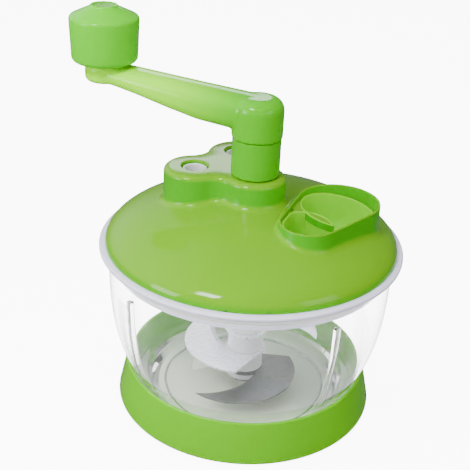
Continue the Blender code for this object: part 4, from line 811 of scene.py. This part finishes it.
DOME_RADIUS = DOME_HIGH.x
DOME_RISE = 28.2 * MM
DOME_POWER = 1.5
DOME_WALL = 2.2 * MM
DOME_RINGS = 46
LOBE_RADIUS = 18.3 * MM
LOBE_STEPS = 44
WAIST_RADIUS = 12 * MM
WAIST_STEPS = 12
HOUSING_TOP = DOME_HIGH.z
HOUSING_ROUND = 3.5 * MM
FOOT_FILLET = 3.5 * MM
COLLAR_FILLET = FOOT_FILLET - 0.4 * MM
HOLE_DEPTH = 4 * MM
JOURNAL_HOLE = 7.5 * MM
JOURNAL_LIP = 1.2 * MM
CRANK_HOLE = 8.4 * MM
CHUTE_ANGLE = radians(-3)
CHUTE_REACH = 49.4 * MM
CHUTE_PLACE = polar(CHUTE_REACH, CHUTE_ANGLE)
CHUTE_RADIUS = 21 * MM
CHUTE_WALL = 1.3 * MM
CHUTE_GAP = 0.05 * MM
CHUTE_FLANGE = 2.8 * MM
CHUTE_FLANGE_THICK = 1.5 * MM
CHUTE_TAPER = 1.8 * MM
CHUTE_LIP = 0.5 * MM
POCKET_PLACE = polar(41.3 * MM, radians(-38))
POCKET_RADIUS = 12.3 * MM
COLLAR_NARROW_PLACE = polar(45.8 * MM, radians(-47))
COLLAR_NARROW_RADIUS = 16.8 * MM
COLLAR_WALL = 1.3 * MM
COLLAR_RADIUS = CHUTE_RADIUS + CHUTE_WALL + 2 * FIT + COLLAR_WALL
MOUTH_NARROW_RADIUS = COLLAR_NARROW_RADIUS - COLLAR_WALL - 2 * FIT - CHUTE_WALL
COLLAR_TOP = DOME_LOW.z + 29 * MM
FLOOR_DEPTH = 6.4 * MM
FLOOR_SLOPE = 0.14
FLOOR_CORNER = 0.2 * MM


def dome_z(x, y):
    """Height of the dome's skin over a point."""
    share = min(1.0, hypot(x, y) / DOME_RADIUS)
    return DOME_LOW.z + DOME_RISE * sqrt(max(0.0, 1 - share ** DOME_POWER))


def trefoil(offset):
    """Outline of the three-lobed housing, grown by an offset."""
    centres = [Vector(place) for place in ((0.0, 0.0), COUNTER_PLACES["back"], COUNTER_PLACES["front"])]
    reach = LOBE_RADIUS + WAIST_RADIUS
    points = []
    for before, here, after in zip(centres[-1:] + centres[:-1], centres, centres[1:] + centres[:1]):
        waists = []
        for start, end in ((before, here), (here, after)):
            half = (end - start) / 2
            outward = Vector((half.y, -half.x)).normalized()
            waists.append(start + half + outward * sqrt(reach ** 2 - half.length ** 2))
        start = bearing(waists[0] - here)
        turn = (bearing(waists[1] - here) - start) % (2 * pi)
        points += arc(here, LOBE_RADIUS + offset, start, turn, LOBE_STEPS)
        start = bearing(here - waists[1])
        turn = (bearing(after - waists[1]) - start + pi) % (2 * pi) - pi
        points += arc(waists[1], WAIST_RADIUS - offset, start, turn, WAIST_STEPS)[1:-1]
    return points


def pear(offset):
    """Outline of the hopper's collar, grown by an offset."""
    big = Vector(CHUTE_PLACE)
    small = Vector(COLLAR_NARROW_PLACE)
    between = small - big
    lean = acos((COLLAR_RADIUS - COLLAR_NARROW_RADIUS) / between.length)
    heading = bearing(between)
    big_arc = arc(big, COLLAR_RADIUS + offset, heading + lean, 2 * pi - 2 * lean, 84)
    small_arc = arc(small, COLLAR_NARROW_RADIUS + offset, heading - lean, 2 * lean, 40)
    points = []
    for one, other in ((big_arc, small_arc), (small_arc, big_arc)):
        points += one + straight(one[-1], other[0], 14)
    return points


def floor_z(x, y):
    """Height of the hopper's flat floor, which slopes down away from the crank."""
    beyond = x * cos(CHUTE_ANGLE) + y * sin(CHUTE_ANGLE) - CHUTE_REACH
    return COLLAR_TOP - FLOOR_DEPTH - FLOOR_SLOPE * beyond


def over_floor(outline, rise):
    """An outline laid at a height over the hopper's floor."""
    return [(x, y, floor_z(x, y) + rise) for x, y in outline]


def keyhole(offset):
    """Outline of the chute, grown by an offset: it follows the collar but for the ledge at the back left."""
    big = Vector(CHUTE_PLACE)
    bore = Vector(POCKET_PLACE)
    narrow = Vector(COLLAR_NARROW_PLACE)
    big_radius = CHUTE_RADIUS + offset
    bore_radius = POCKET_RADIUS + offset
    narrow_radius = MOUTH_NARROW_RADIUS + offset
    cusp = crossing(big, big_radius, bore, bore_radius)
    right = bearing(narrow - big) + acos((CHUTE_RADIUS - MOUTH_NARROW_RADIUS) / (narrow - big).length)
    left = bearing(narrow - bore) - acos((POCKET_RADIUS - MOUTH_NARROW_RADIUS) / (narrow - bore).length)
    arcs = (
        (bore, bore_radius, bearing(cusp - bore), left, 24),
        (narrow, narrow_radius, left, right, 48),
        (big, big_radius, right, bearing(cusp - big), 90),
    )
    points = []
    for centre, radius, start, end, steps in arcs:
        bend = arc(centre, radius, start, (end - start) % (2 * pi), steps)
        if points:
            points += straight(points[-1], bend[0], 6)
        points += bend
    return points[:-1]


def wall_rings(outline, top, edge_round, foot_fillet):
    """Rings of a wall that leaves the dome in a fillet and ends in a rounded edge."""
    rings = []
    for turn in quarter(WALL_STEPS):
        offset = foot_fillet * (1 - sin(turn))
        rise = foot_fillet * (1 - cos(turn))
        rings.append([(x, y, dome_z(x, y) + rise) for x, y in outline(offset)])
    for turn in quarter(WALL_STEPS):
        inset = edge_round * (1 - cos(turn))
        rings.append(level(outline(-inset), top - edge_round * (1 - sin(turn))))
    return rings


def dome_field():
    """Points over the dome outside the housing and the collar."""
    housing = trefoil(FOOT_FILLET + 0.9 * MM)
    collar = pear(FOOT_FILLET + 0.5 * MM)
    field = []
    for ring in range(1, DOME_RINGS):
        share = sin((pi / 2) * ring / DOME_RINGS) ** (2 / DOME_POWER)
        count = max(24, int(FINE_STEPS * min(1.0, 0.35 + share)))
        turn = pi * (ring % 2) / count
        for step in range(count):
            point = polar(DOME_RADIUS * share, 2 * pi * step / count + turn)
            if not inside(point, housing) and not inside(point, collar):
                field.append(point)
    return field


def add_housing_top(shape):
    """Closes the housing's top round the holes for the crank and the two journals."""
    holes = [circle(JOURNAL_HOLE + JOURNAL_LIP, SMALL_STEPS, place) for place in COUNTER_PLACES.values()]
    holes.append(circle(CRANK_HOLE, SMALL_STEPS))
    flat(shape, trefoil(-HOUSING_ROUND), holes, HOUSING_TOP)
    for place in COUNTER_PLACES.values():
        profile = rounded([
            (JOURNAL_HOLE + 2 * JOURNAL_LIP, HOUSING_TOP, 0.0),
            (JOURNAL_HOLE, HOUSING_TOP, JOURNAL_LIP),
            (JOURNAL_HOLE, HOUSING_TOP - HOLE_DEPTH, 0.0),
        ], False)[1:]
        revolve(shape, profile, place, SMALL_STEPS, False)
    lathe(shape, [(CRANK_HOLE, z, 0.0) for z in (HOUSING_TOP, HOUSING_TOP - DOME_WALL)], steps=SMALL_STEPS)


def add_hopper(shape):
    """The inside of the collar, and the hopper's sloping floor round the chute."""
    rings = []
    half = COLLAR_WALL / 2
    for turn in quarter(6):
        rings.append(level(pear(-half - half * sin(turn)), COLLAR_TOP - half * (1 - cos(turn))))
    for turn in quarter(5):
        inset = COLLAR_WALL + FLOOR_CORNER * (1 - cos(turn))
        rings.append(over_floor(pear(-inset), FLOOR_CORNER * (1 - sin(turn))))
    skin(shape, rings)
    hole = keyhole(CHUTE_WALL + CHUTE_GAP)
    patch(shape, pear(-COLLAR_WALL - FLOOR_CORNER), [hole], [], floor_z)
    skin(shape, [over_floor(hole, rise) for rise in (0.0, -HOLE_DEPTH)])


def make_dome():
    """The green cover with the gear housing and the hopper's collar in one skin."""
    shape = bmesh.new()
    toes = [trefoil(FOOT_FILLET), pear(COLLAR_FILLET)]
    patch(shape, circle(DOME_RADIUS, FINE_STEPS), toes, dome_field(), dome_z)
    skin(shape, wall_rings(trefoil, HOUSING_TOP, HOUSING_ROUND, FOOT_FILLET))
    add_housing_top(shape)
    skin(shape, wall_rings(pear, COLLAR_TOP, COLLAR_WALL * EDGE_SHARE, COLLAR_FILLET))
    add_hopper(shape)
    lathe(shape, [
        (DOME_RADIUS, DOME_LOW.z + AXIS_REACH, 0.0),
        (DOME_RADIUS - DOME_WALL, DOME_LOW.z, 0.3 * MM),
        (DOME_RADIUS - DOME_WALL, DOME_LOW.z + 4 * MM, 0.0),
    ])
    new_piece("dome_shell", finished(shape), "lid", LID_GREEN, ["lid_dome"], radians(50))


def make_chute():
    """The keyhole chute: its rounded lip stands just above the hopper's floor."""
    foot = CHUTE_LOW.z
    flange_low = DOME_LOW.z
    flange_top = flange_low + CHUTE_FLANGE_THICK
    edge = 0.3 * MM
    wall = CHUTE_WALL - CHUTE_GAP
    half = wall / 2
    walls = (
        (-CHUTE_TAPER, foot + edge),
        (edge - CHUTE_TAPER, foot),
        (wall - edge - CHUTE_TAPER, foot),
        (wall - CHUTE_TAPER, foot + edge),
        (wall - 0.7 * CHUTE_TAPER, flange_low),
        (CHUTE_FLANGE - edge, flange_low),
        (CHUTE_FLANGE, flange_low + edge),
        (CHUTE_FLANGE, flange_top - edge),
        (CHUTE_FLANGE - edge, flange_top),
        (wall - 0.6 * CHUTE_TAPER, flange_top),
    )
    rings = [level(keyhole(offset), height) for offset, height in walls]
    for step in range(WALL_STEPS + 1):
        turn = pi * step / WALL_STEPS
        rings.append(over_floor(keyhole(half + half * cos(turn)), CHUTE_LIP - half * (1 - sin(turn))))
    rings.append(rings[0])
    shape = bmesh.new()
    skin(shape, rings)
    new_piece("chute", finished(shape), "lid", LIT_CHUTE_GREEN, ["feed_chute"])


# Gears

GEAR_MODULE = 2 * MM
PRESSURE_ANGLE = radians(20)
BACKLASH = 0.4 * MM
ADDENDUM = 0.8
DEDENDUM = 1.05
FLANK_STEPS = 6
CRANK_TEETH = 24
UPPER_TEETH = 12
LOWER_TEETH = 16
OUTPUT_TEETH = 20
GEAR_FACE = 6.5 * MM
AXLE_BORE = 3.3 * MM
JOURNAL_RADIUS = 7.2 * MM
JOURNAL_HOLLOW = 5.6 * MM
JOURNAL_FLOOR = 1.6 * MM


def gear_outline(teeth, phase):
    """Outline of a spur gear with short teeth, one of them centred on the phase angle."""
    pitch = GEAR_MODULE * teeth / 2
    base = pitch * cos(PRESSURE_ANGLE)
    tip = pitch + ADDENDUM * GEAR_MODULE
    root = pitch - DEDENDUM * GEAR_MODULE
    start = max(base, root)
    half_at_pitch = pi / (2 * teeth) - BACKLASH / (4 * pitch)

    def half_angle(radius):
        turn = acos(min(1.0, base / radius))
        return half_at_pitch + tan(PRESSURE_ANGLE) - PRESSURE_ANGLE - tan(turn) + turn

    flank = [(root, half_angle(start))]
    flank += [
        (radius, half_angle(radius))
        for radius in (start + (tip - start) * step / FLANK_STEPS for step in range(FLANK_STEPS + 1))
        if radius > root
    ]
    points = []
    for tooth in range(teeth):
        middle = phase + 2 * pi * tooth / teeth
        points += [polar(radius, middle - half) for radius, half in flank]
        points += [polar(radius, middle + half) for radius, half in reversed(flank)]
    return points


def gear_disc(shape, teeth, partner, place, low, high):
    """Adds a toothed disc with a round bore; its teeth mesh with a partner's on the crank's axis."""
    angle = atan2(place[1], place[0])
    phase = angle + pi + (pi + partner * angle) / teeth
    outline = [(x + place[0], y + place[1]) for x, y in gear_outline(teeth, phase)]
    upright(shape, outline, low, high)
    for z in (low, high):
        flat(shape, outline, [circle(AXLE_BORE, SMALL_STEPS, place)], z)


def make_counter_gears():
    """The compound counter gears, whose hollow journals show in the housing's lobes."""
    for side, place in COUNTER_PLACES.items():
        low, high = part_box(f"counter_{side}_gear")
        middle = low.z + GEAR_FACE
        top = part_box("drive_gear")[0].z + GEAR_FACE
        shape = bmesh.new()
        gear_disc(shape, LOWER_TEETH, OUTPUT_TEETH, place, low.z, middle)
        gear_disc(shape, UPPER_TEETH, CRANK_TEETH, place, middle, top)
        lathe(shape, [
            (AXLE_BORE, low.z, 0.0),
            (AXLE_BORE, top + JOURNAL_FLOOR, 0.3 * MM),
            (JOURNAL_HOLLOW, top + JOURNAL_FLOOR, 0.8 * MM),
            (JOURNAL_HOLLOW, high.z, 0.5 * MM),
            (JOURNAL_RADIUS, high.z, 0.6 * MM),
            (JOURNAL_RADIUS, top, 0.8 * MM),
            (JOURNAL_RADIUS + 1.2 * MM, top, 0.0),
        ], place, SMALL_STEPS)
        name = f"counter_{side}"
        new_piece(name, finished(shape), name, JOURNAL_WHITE, [name + "_gear"], radians(30))


# Crank and knob

SLEEVE_BORE = 6.2 * MM
ARM_DEPTH_SHARES = ((0.0, 1.0), (0.35, 0.97), (0.55, 0.83), (0.75, 0.66), (0.9, 0.56), (1.0, 0.54))
ARM_WIDTH = 26.5 * MM
ARM_NARROWING = 6 * MM
ARM_DEPTH = 20.5 * MM
ARM_SQUARENESS = 0.75
ARM_POINTS = 64
ARM_ROWS = 24
ARM_GRAIN = 0.7 * MM
ARM_SMOOTHING = 12
ELBOW_RADIUS = 14.7 * MM
ELBOW_ROUND = 9.5 * MM
ELBOW_TOP = ARM_LOW.z + 23.5 * MM
END_RADIUS = 11.8 * MM
END_ROUND = 3 * MM
END_LOW = ARM_HIGH.z - 11 * MM


def make_sleeve():
    """The sleeve that the crank turns in the housing's middle lobe."""
    mesh = turned([
        (SLEEVE_BORE, SLEEVE_HIGH.z, 0.0),
        (SLEEVE_HIGH.x, SLEEVE_HIGH.z, 0.35 * MM),
        (SLEEVE_HIGH.x, SLEEVE_LOW.z, 0.8 * MM),
        (SLEEVE_BORE, SLEEVE_LOW.z, 0.3 * MM),
    ])
    new_piece("sleeve", mesh, "crank", CRANK_GREEN, ["crank_sleeve"])


def squared(value):
    """A sine or cosine drawn out, which turns an ellipse into a rounded box."""
    return copysign(abs(value) ** ARM_SQUARENESS, value)


def arm_ring(share):
    """Rounded box section of the arm at a share of its length."""
    along = hypot(*KNOB_PLACE) * share
    heading = bearing(Vector(KNOB_PLACE))
    half_width = (ARM_WIDTH - ARM_NARROWING * share) / 2
    top = ELBOW_TOP + (ARM_HIGH.z - ELBOW_TOP) * share
    depth_share = ARM_DEPTH_SHARES[-1][1]
    for (start, first), (end, last) in zip(ARM_DEPTH_SHARES, ARM_DEPTH_SHARES[1:]):
        if start <= share <= end:
            depth_share = first + (last - first) * (share - start) / (end - start)
    half_depth = ARM_DEPTH * depth_share / 2
    points = []
    for step in range(ARM_POINTS):
        turn = 2 * pi * (step + 0.5) / ARM_POINTS
        across = half_width * squared(cos(turn))
        rise = half_depth * squared(sin(turn))
        points.append((*aligned(along, across, heading), top - half_depth + rise))
    return points


def make_arm():
    """The arm: elbow, bar and knob end united, remeshed and smoothed so that they flow together."""
    shapes = [bmesh.new() for name in ("elbow", "bar", "end")]
    drum(shapes[0], ELBOW_RADIUS, ARM_LOW.z, ELBOW_TOP, 0.0, ELBOW_ROUND)
    rod(shapes[1], [arm_ring(row / ARM_ROWS) for row in range(ARM_ROWS + 1)])
    drum(shapes[2], END_RADIUS, END_LOW, ARM_HIGH.z, END_ROUND, END_ROUND, KNOB_PLACE)
    parts = [placed("arm_part", finished(shape)) for shape in shapes]
    elbow = parts[0]
    for other in parts[1:]:
        union = elbow.modifiers.new("union", "BOOLEAN")
        union.operation = "UNION"
        union.object = other
    remesh = elbow.modifiers.new("remesh", "REMESH")
    remesh.mode = "VOXEL"
    remesh.voxel_size = ARM_GRAIN
    smooth = elbow.modifiers.new("smooth", "SMOOTH")
    smooth.factor = 0.5
    smooth.iterations = ARM_SMOOTHING
    evaluated = elbow.evaluated_get(bpy.context.evaluated_depsgraph_get())
    mesh = bpy.data.meshes.new_from_object(evaluated)
    for part in parts:
        bpy.data.objects.remove(part)
    new_piece("arm", mesh, "crank", ARM_GREEN, ["crank_arm"], radians(60))


def make_knob():
    """The knob with its ring and recessed cap."""
    top = KNOB_HIGH.z
    shoulder = KNOB_HIGH.x - KNOB_PLACE[0]
    shoulder_top = top - 6.7 * MM
    foot = shoulder - 1.1 * MM
    ring = 7.9 * MM
    ring_foot = top - 0.9 * MM
    recess = ring - 1.5 * MM
    recess_floor = top - 4.5 * MM
    bore = 3.3 * MM
    mesh = turned([
        (bore, recess_floor, 0.2 * MM),
        (recess, recess_floor, 0.3 * MM),
        (recess, top, 0.5 * MM),
        (ring, top, 0.6 * MM),
        (ring + 0.4 * MM, ring_foot, 0.4 * MM),
        (shoulder, shoulder_top, 2.6 * MM),
        (foot, KNOB_LOW.z, 3.2 * MM),
        (bore, KNOB_LOW.z, 0.3 * MM),
    ], KNOB_PLACE)
    new_piece("knob_body", mesh, "knob", KNOB_GREEN, ["knob"])
    shape = bmesh.new()
    drum(shape, recess - FIT, CAP_LOW.z, CAP_HIGH.z, 0.3 * MM, 0.5 * MM, KNOB_PLACE, SMALL_STEPS)
    new_piece("cap", finished(shape), "knob", SHADED_CAP_GREEN, ["knob_cap"])


# Materials of the CAD nodes that stay

WHITE_NODES = ["crank_bush", "drive_gear", "output_gear"]
STEEL_NODES = ["pivot_pin", "output_bush", "gear_washer", "output_clip", "crank_shaft", "knob_pin"]
STEEL_NODES += [f"counter_{side}_axle" for side in ("front", "back")]
STEEL_NODES += [f"tray_screw_{count}" for count in ("one", "two", "three", "four")]


def dress_frame():
    """Gives the CAD nodes that stay their materials."""
    for nodes, material in ((WHITE_NODES, GEAR_WHITE), (STEEL_NODES, TURNED_STEEL)):
        for node in nodes:
            for place in frame["nodes"][node].material_slots:
                place.material = material


# Camera, lights and floor

FLOOR_GLOW = 9.0
NEAR_GLOW = 0.8
WORLD_GLOW = (0.2, 1.8)
BRIGHT_SIDE = (-1.0, 0.35, 0.2)
BRIGHT_SPREAD = (0.3, 1.0)
HORIZON_SPREAD = (-0.1, 0.3)
WHITE = (1.0, 1.0, 1.0, 1.0)
STAGE_HALF = 6.0
GROUND = -0.1 * MM
LIGHT_AIM = (0.0, 0.0, 0.1)

# Name, place, size and power, and whether glossy plastic mirrors the light
LIGHTS = (
    ("key", (-0.4, -0.55, 0.9), (0.25, 0.2), 11.0, True),
    ("side", (-0.9, -0.5, 0.3), (0.4, 0.4), 8.0, True),
    ("fill", (0.8, -0.6, 0.5), (0.5, 0.5), 3.0, True),
    ("front", (0.35, -1.0, 0.28), (0.6, 0.3), 5.5, False),
    ("top", (0.1, 0.0, 1.1), (0.7, 0.7), 5.0, False),
    ("back", (-0.09, 1.0, 0.57), (0.3, 0.12), 0.7, True),
)


def make_camera():
    """The camera at the photograph's place and angle."""
    distance = 600 * MM
    height = radians(30.0098)
    aim_height = 70 * MM
    pitch = -0.0569569342
    yaw = -0.0188772273
    roll = 0.0473509188
    focal_pixels = 978.5429653
    frame_pixels = 470
    tilt = height + pitch
    ahead = Vector((sin(yaw) * cos(tilt), cos(yaw) * cos(tilt), -sin(tilt)))
    right = ahead.cross(Vector((0.0, 0.0, 1.0))).normalized()
    up = right.cross(ahead)
    side = right * cos(roll) + up * sin(roll)
    top = up * cos(roll) - right * sin(roll)
    data = bpy.data.cameras.new("camera")
    data.sensor_width = 36.0
    data.lens = data.sensor_width * focal_pixels / frame_pixels
    data.clip_start = 10 * MM
    camera = placed("camera", data)
    turn = Matrix((side, top, -ahead)).transposed().to_4x4()
    place = Vector((0.0, -distance * cos(height), aim_height + distance * sin(height)))
    camera.matrix_world = Matrix.Translation(place) @ turn
    bpy.context.scene.camera = camera


def make_light(name, place, size, power, mirrored):
    """A soft box that looks at the bowl's middle; glossy plastic shows it if it is mirrored."""
    data = bpy.data.lights.new(name, "AREA")
    data.shape = "RECTANGLE"
    data.size, data.size_y = size
    data.energy = power
    lamp = placed(name, data)
    lamp.location = place
    lamp.visible_glossy = mirrored
    lamp.visible_transmission = mirrored
    lamp.rotation_euler = (Vector(LIGHT_AIM) - Vector(place)).to_track_quat("-Z", "Y").to_euler()


def glowing(name, strength):
    """Matt white that glows, for the floor and what shows through the clear bowl."""
    material, nodes, links, shader = shader_of(name, (0.9, 0.9, 0.9), 0.7)
    feed(shader, {"Specular IOR Level": 0.0, "Emission Color": WHITE, "Emission Strength": strength})
    return material


def make_sheet(name, front, back, top, material, through_glass):
    """A flat sheet of the stage, or walls if its top is above ground; neither lights the object."""
    outline = [(-STAGE_HALF, front), (STAGE_HALF, front), (STAGE_HALF, back), (-STAGE_HALF, back)]
    corners = level(outline, GROUND)
    faces = [(0, 1, 2, 3)]
    if top > GROUND:
        corners += level(outline, top)
        faces = [(step, (step + 1) % 4, (step + 1) % 4 + 4, step + 4) for step in range(4)]
    mesh = bpy.data.meshes.new(name)
    mesh.from_pydata(corners, [], faces)
    mesh.materials.append(material)
    sheet = placed(name, mesh)
    sheet.visible_camera = not through_glass
    sheet.visible_transmission = through_glass
    sheet.visible_diffuse = False
    sheet.visible_glossy = False
    sheet.visible_shadow = False


def make_floor():
    """Plain pale floor and walls; what shows through glass is dimmer near the camera."""
    bright = glowing("floor_white", FLOOR_GLOW)
    dim = glowing("near_white", NEAR_GLOW)
    make_sheet("floor", -STAGE_HALF, STAGE_HALF, GROUND, bright, False)
    make_sheet("floor_near", -STAGE_HALF, 0.0, GROUND, dim, True)
    make_sheet("floor_far", 0.0, STAGE_HALF, GROUND, bright, True)
    make_sheet("walls", -STAGE_HALF, STAGE_HALF, STAGE_HALF, bright, False)


def make_world():
    """White surroundings, dim but for a bright side above the horizon."""
    world = bpy.data.worlds.new("studio")
    world.use_nodes = True
    nodes = world.node_tree.nodes
    links = world.node_tree.links
    backdrop = nodes["Background"]
    feed(backdrop, {"Color": WHITE})
    place = nodes.new("ShaderNodeTexCoord").outputs["Generated"]
    facing = measured(nodes, links, place, Vector(BRIGHT_SIDE))
    height = measured(nodes, links, place, Vector((0.0, 0.0, 1.0)))
    towards = eased(nodes, links, facing, *BRIGHT_SPREAD)
    feed(towards, {"To Max": WORLD_GLOW[1]})
    above = eased(nodes, links, height, *HORIZON_SPREAD)
    both = nodes.new("ShaderNodeMath")
    both.operation = "MULTIPLY_ADD"
    feed(both, {2: WORLD_GLOW[0]})
    links.new(towards.outputs["Result"], both.inputs[0])
    links.new(above.outputs["Result"], both.inputs[1])
    links.new(both.outputs["Value"], backdrop.inputs["Strength"])
    bpy.context.scene.world = world


make_camera()
make_floor()
make_world()
for light in LIGHTS:
    make_light(*light)
make_base()
make_bowl()
make_blades()
make_tray()
make_dome()
make_chute()
make_counter_gears()
make_sleeve()
make_arm()
make_knob()
dress_frame()
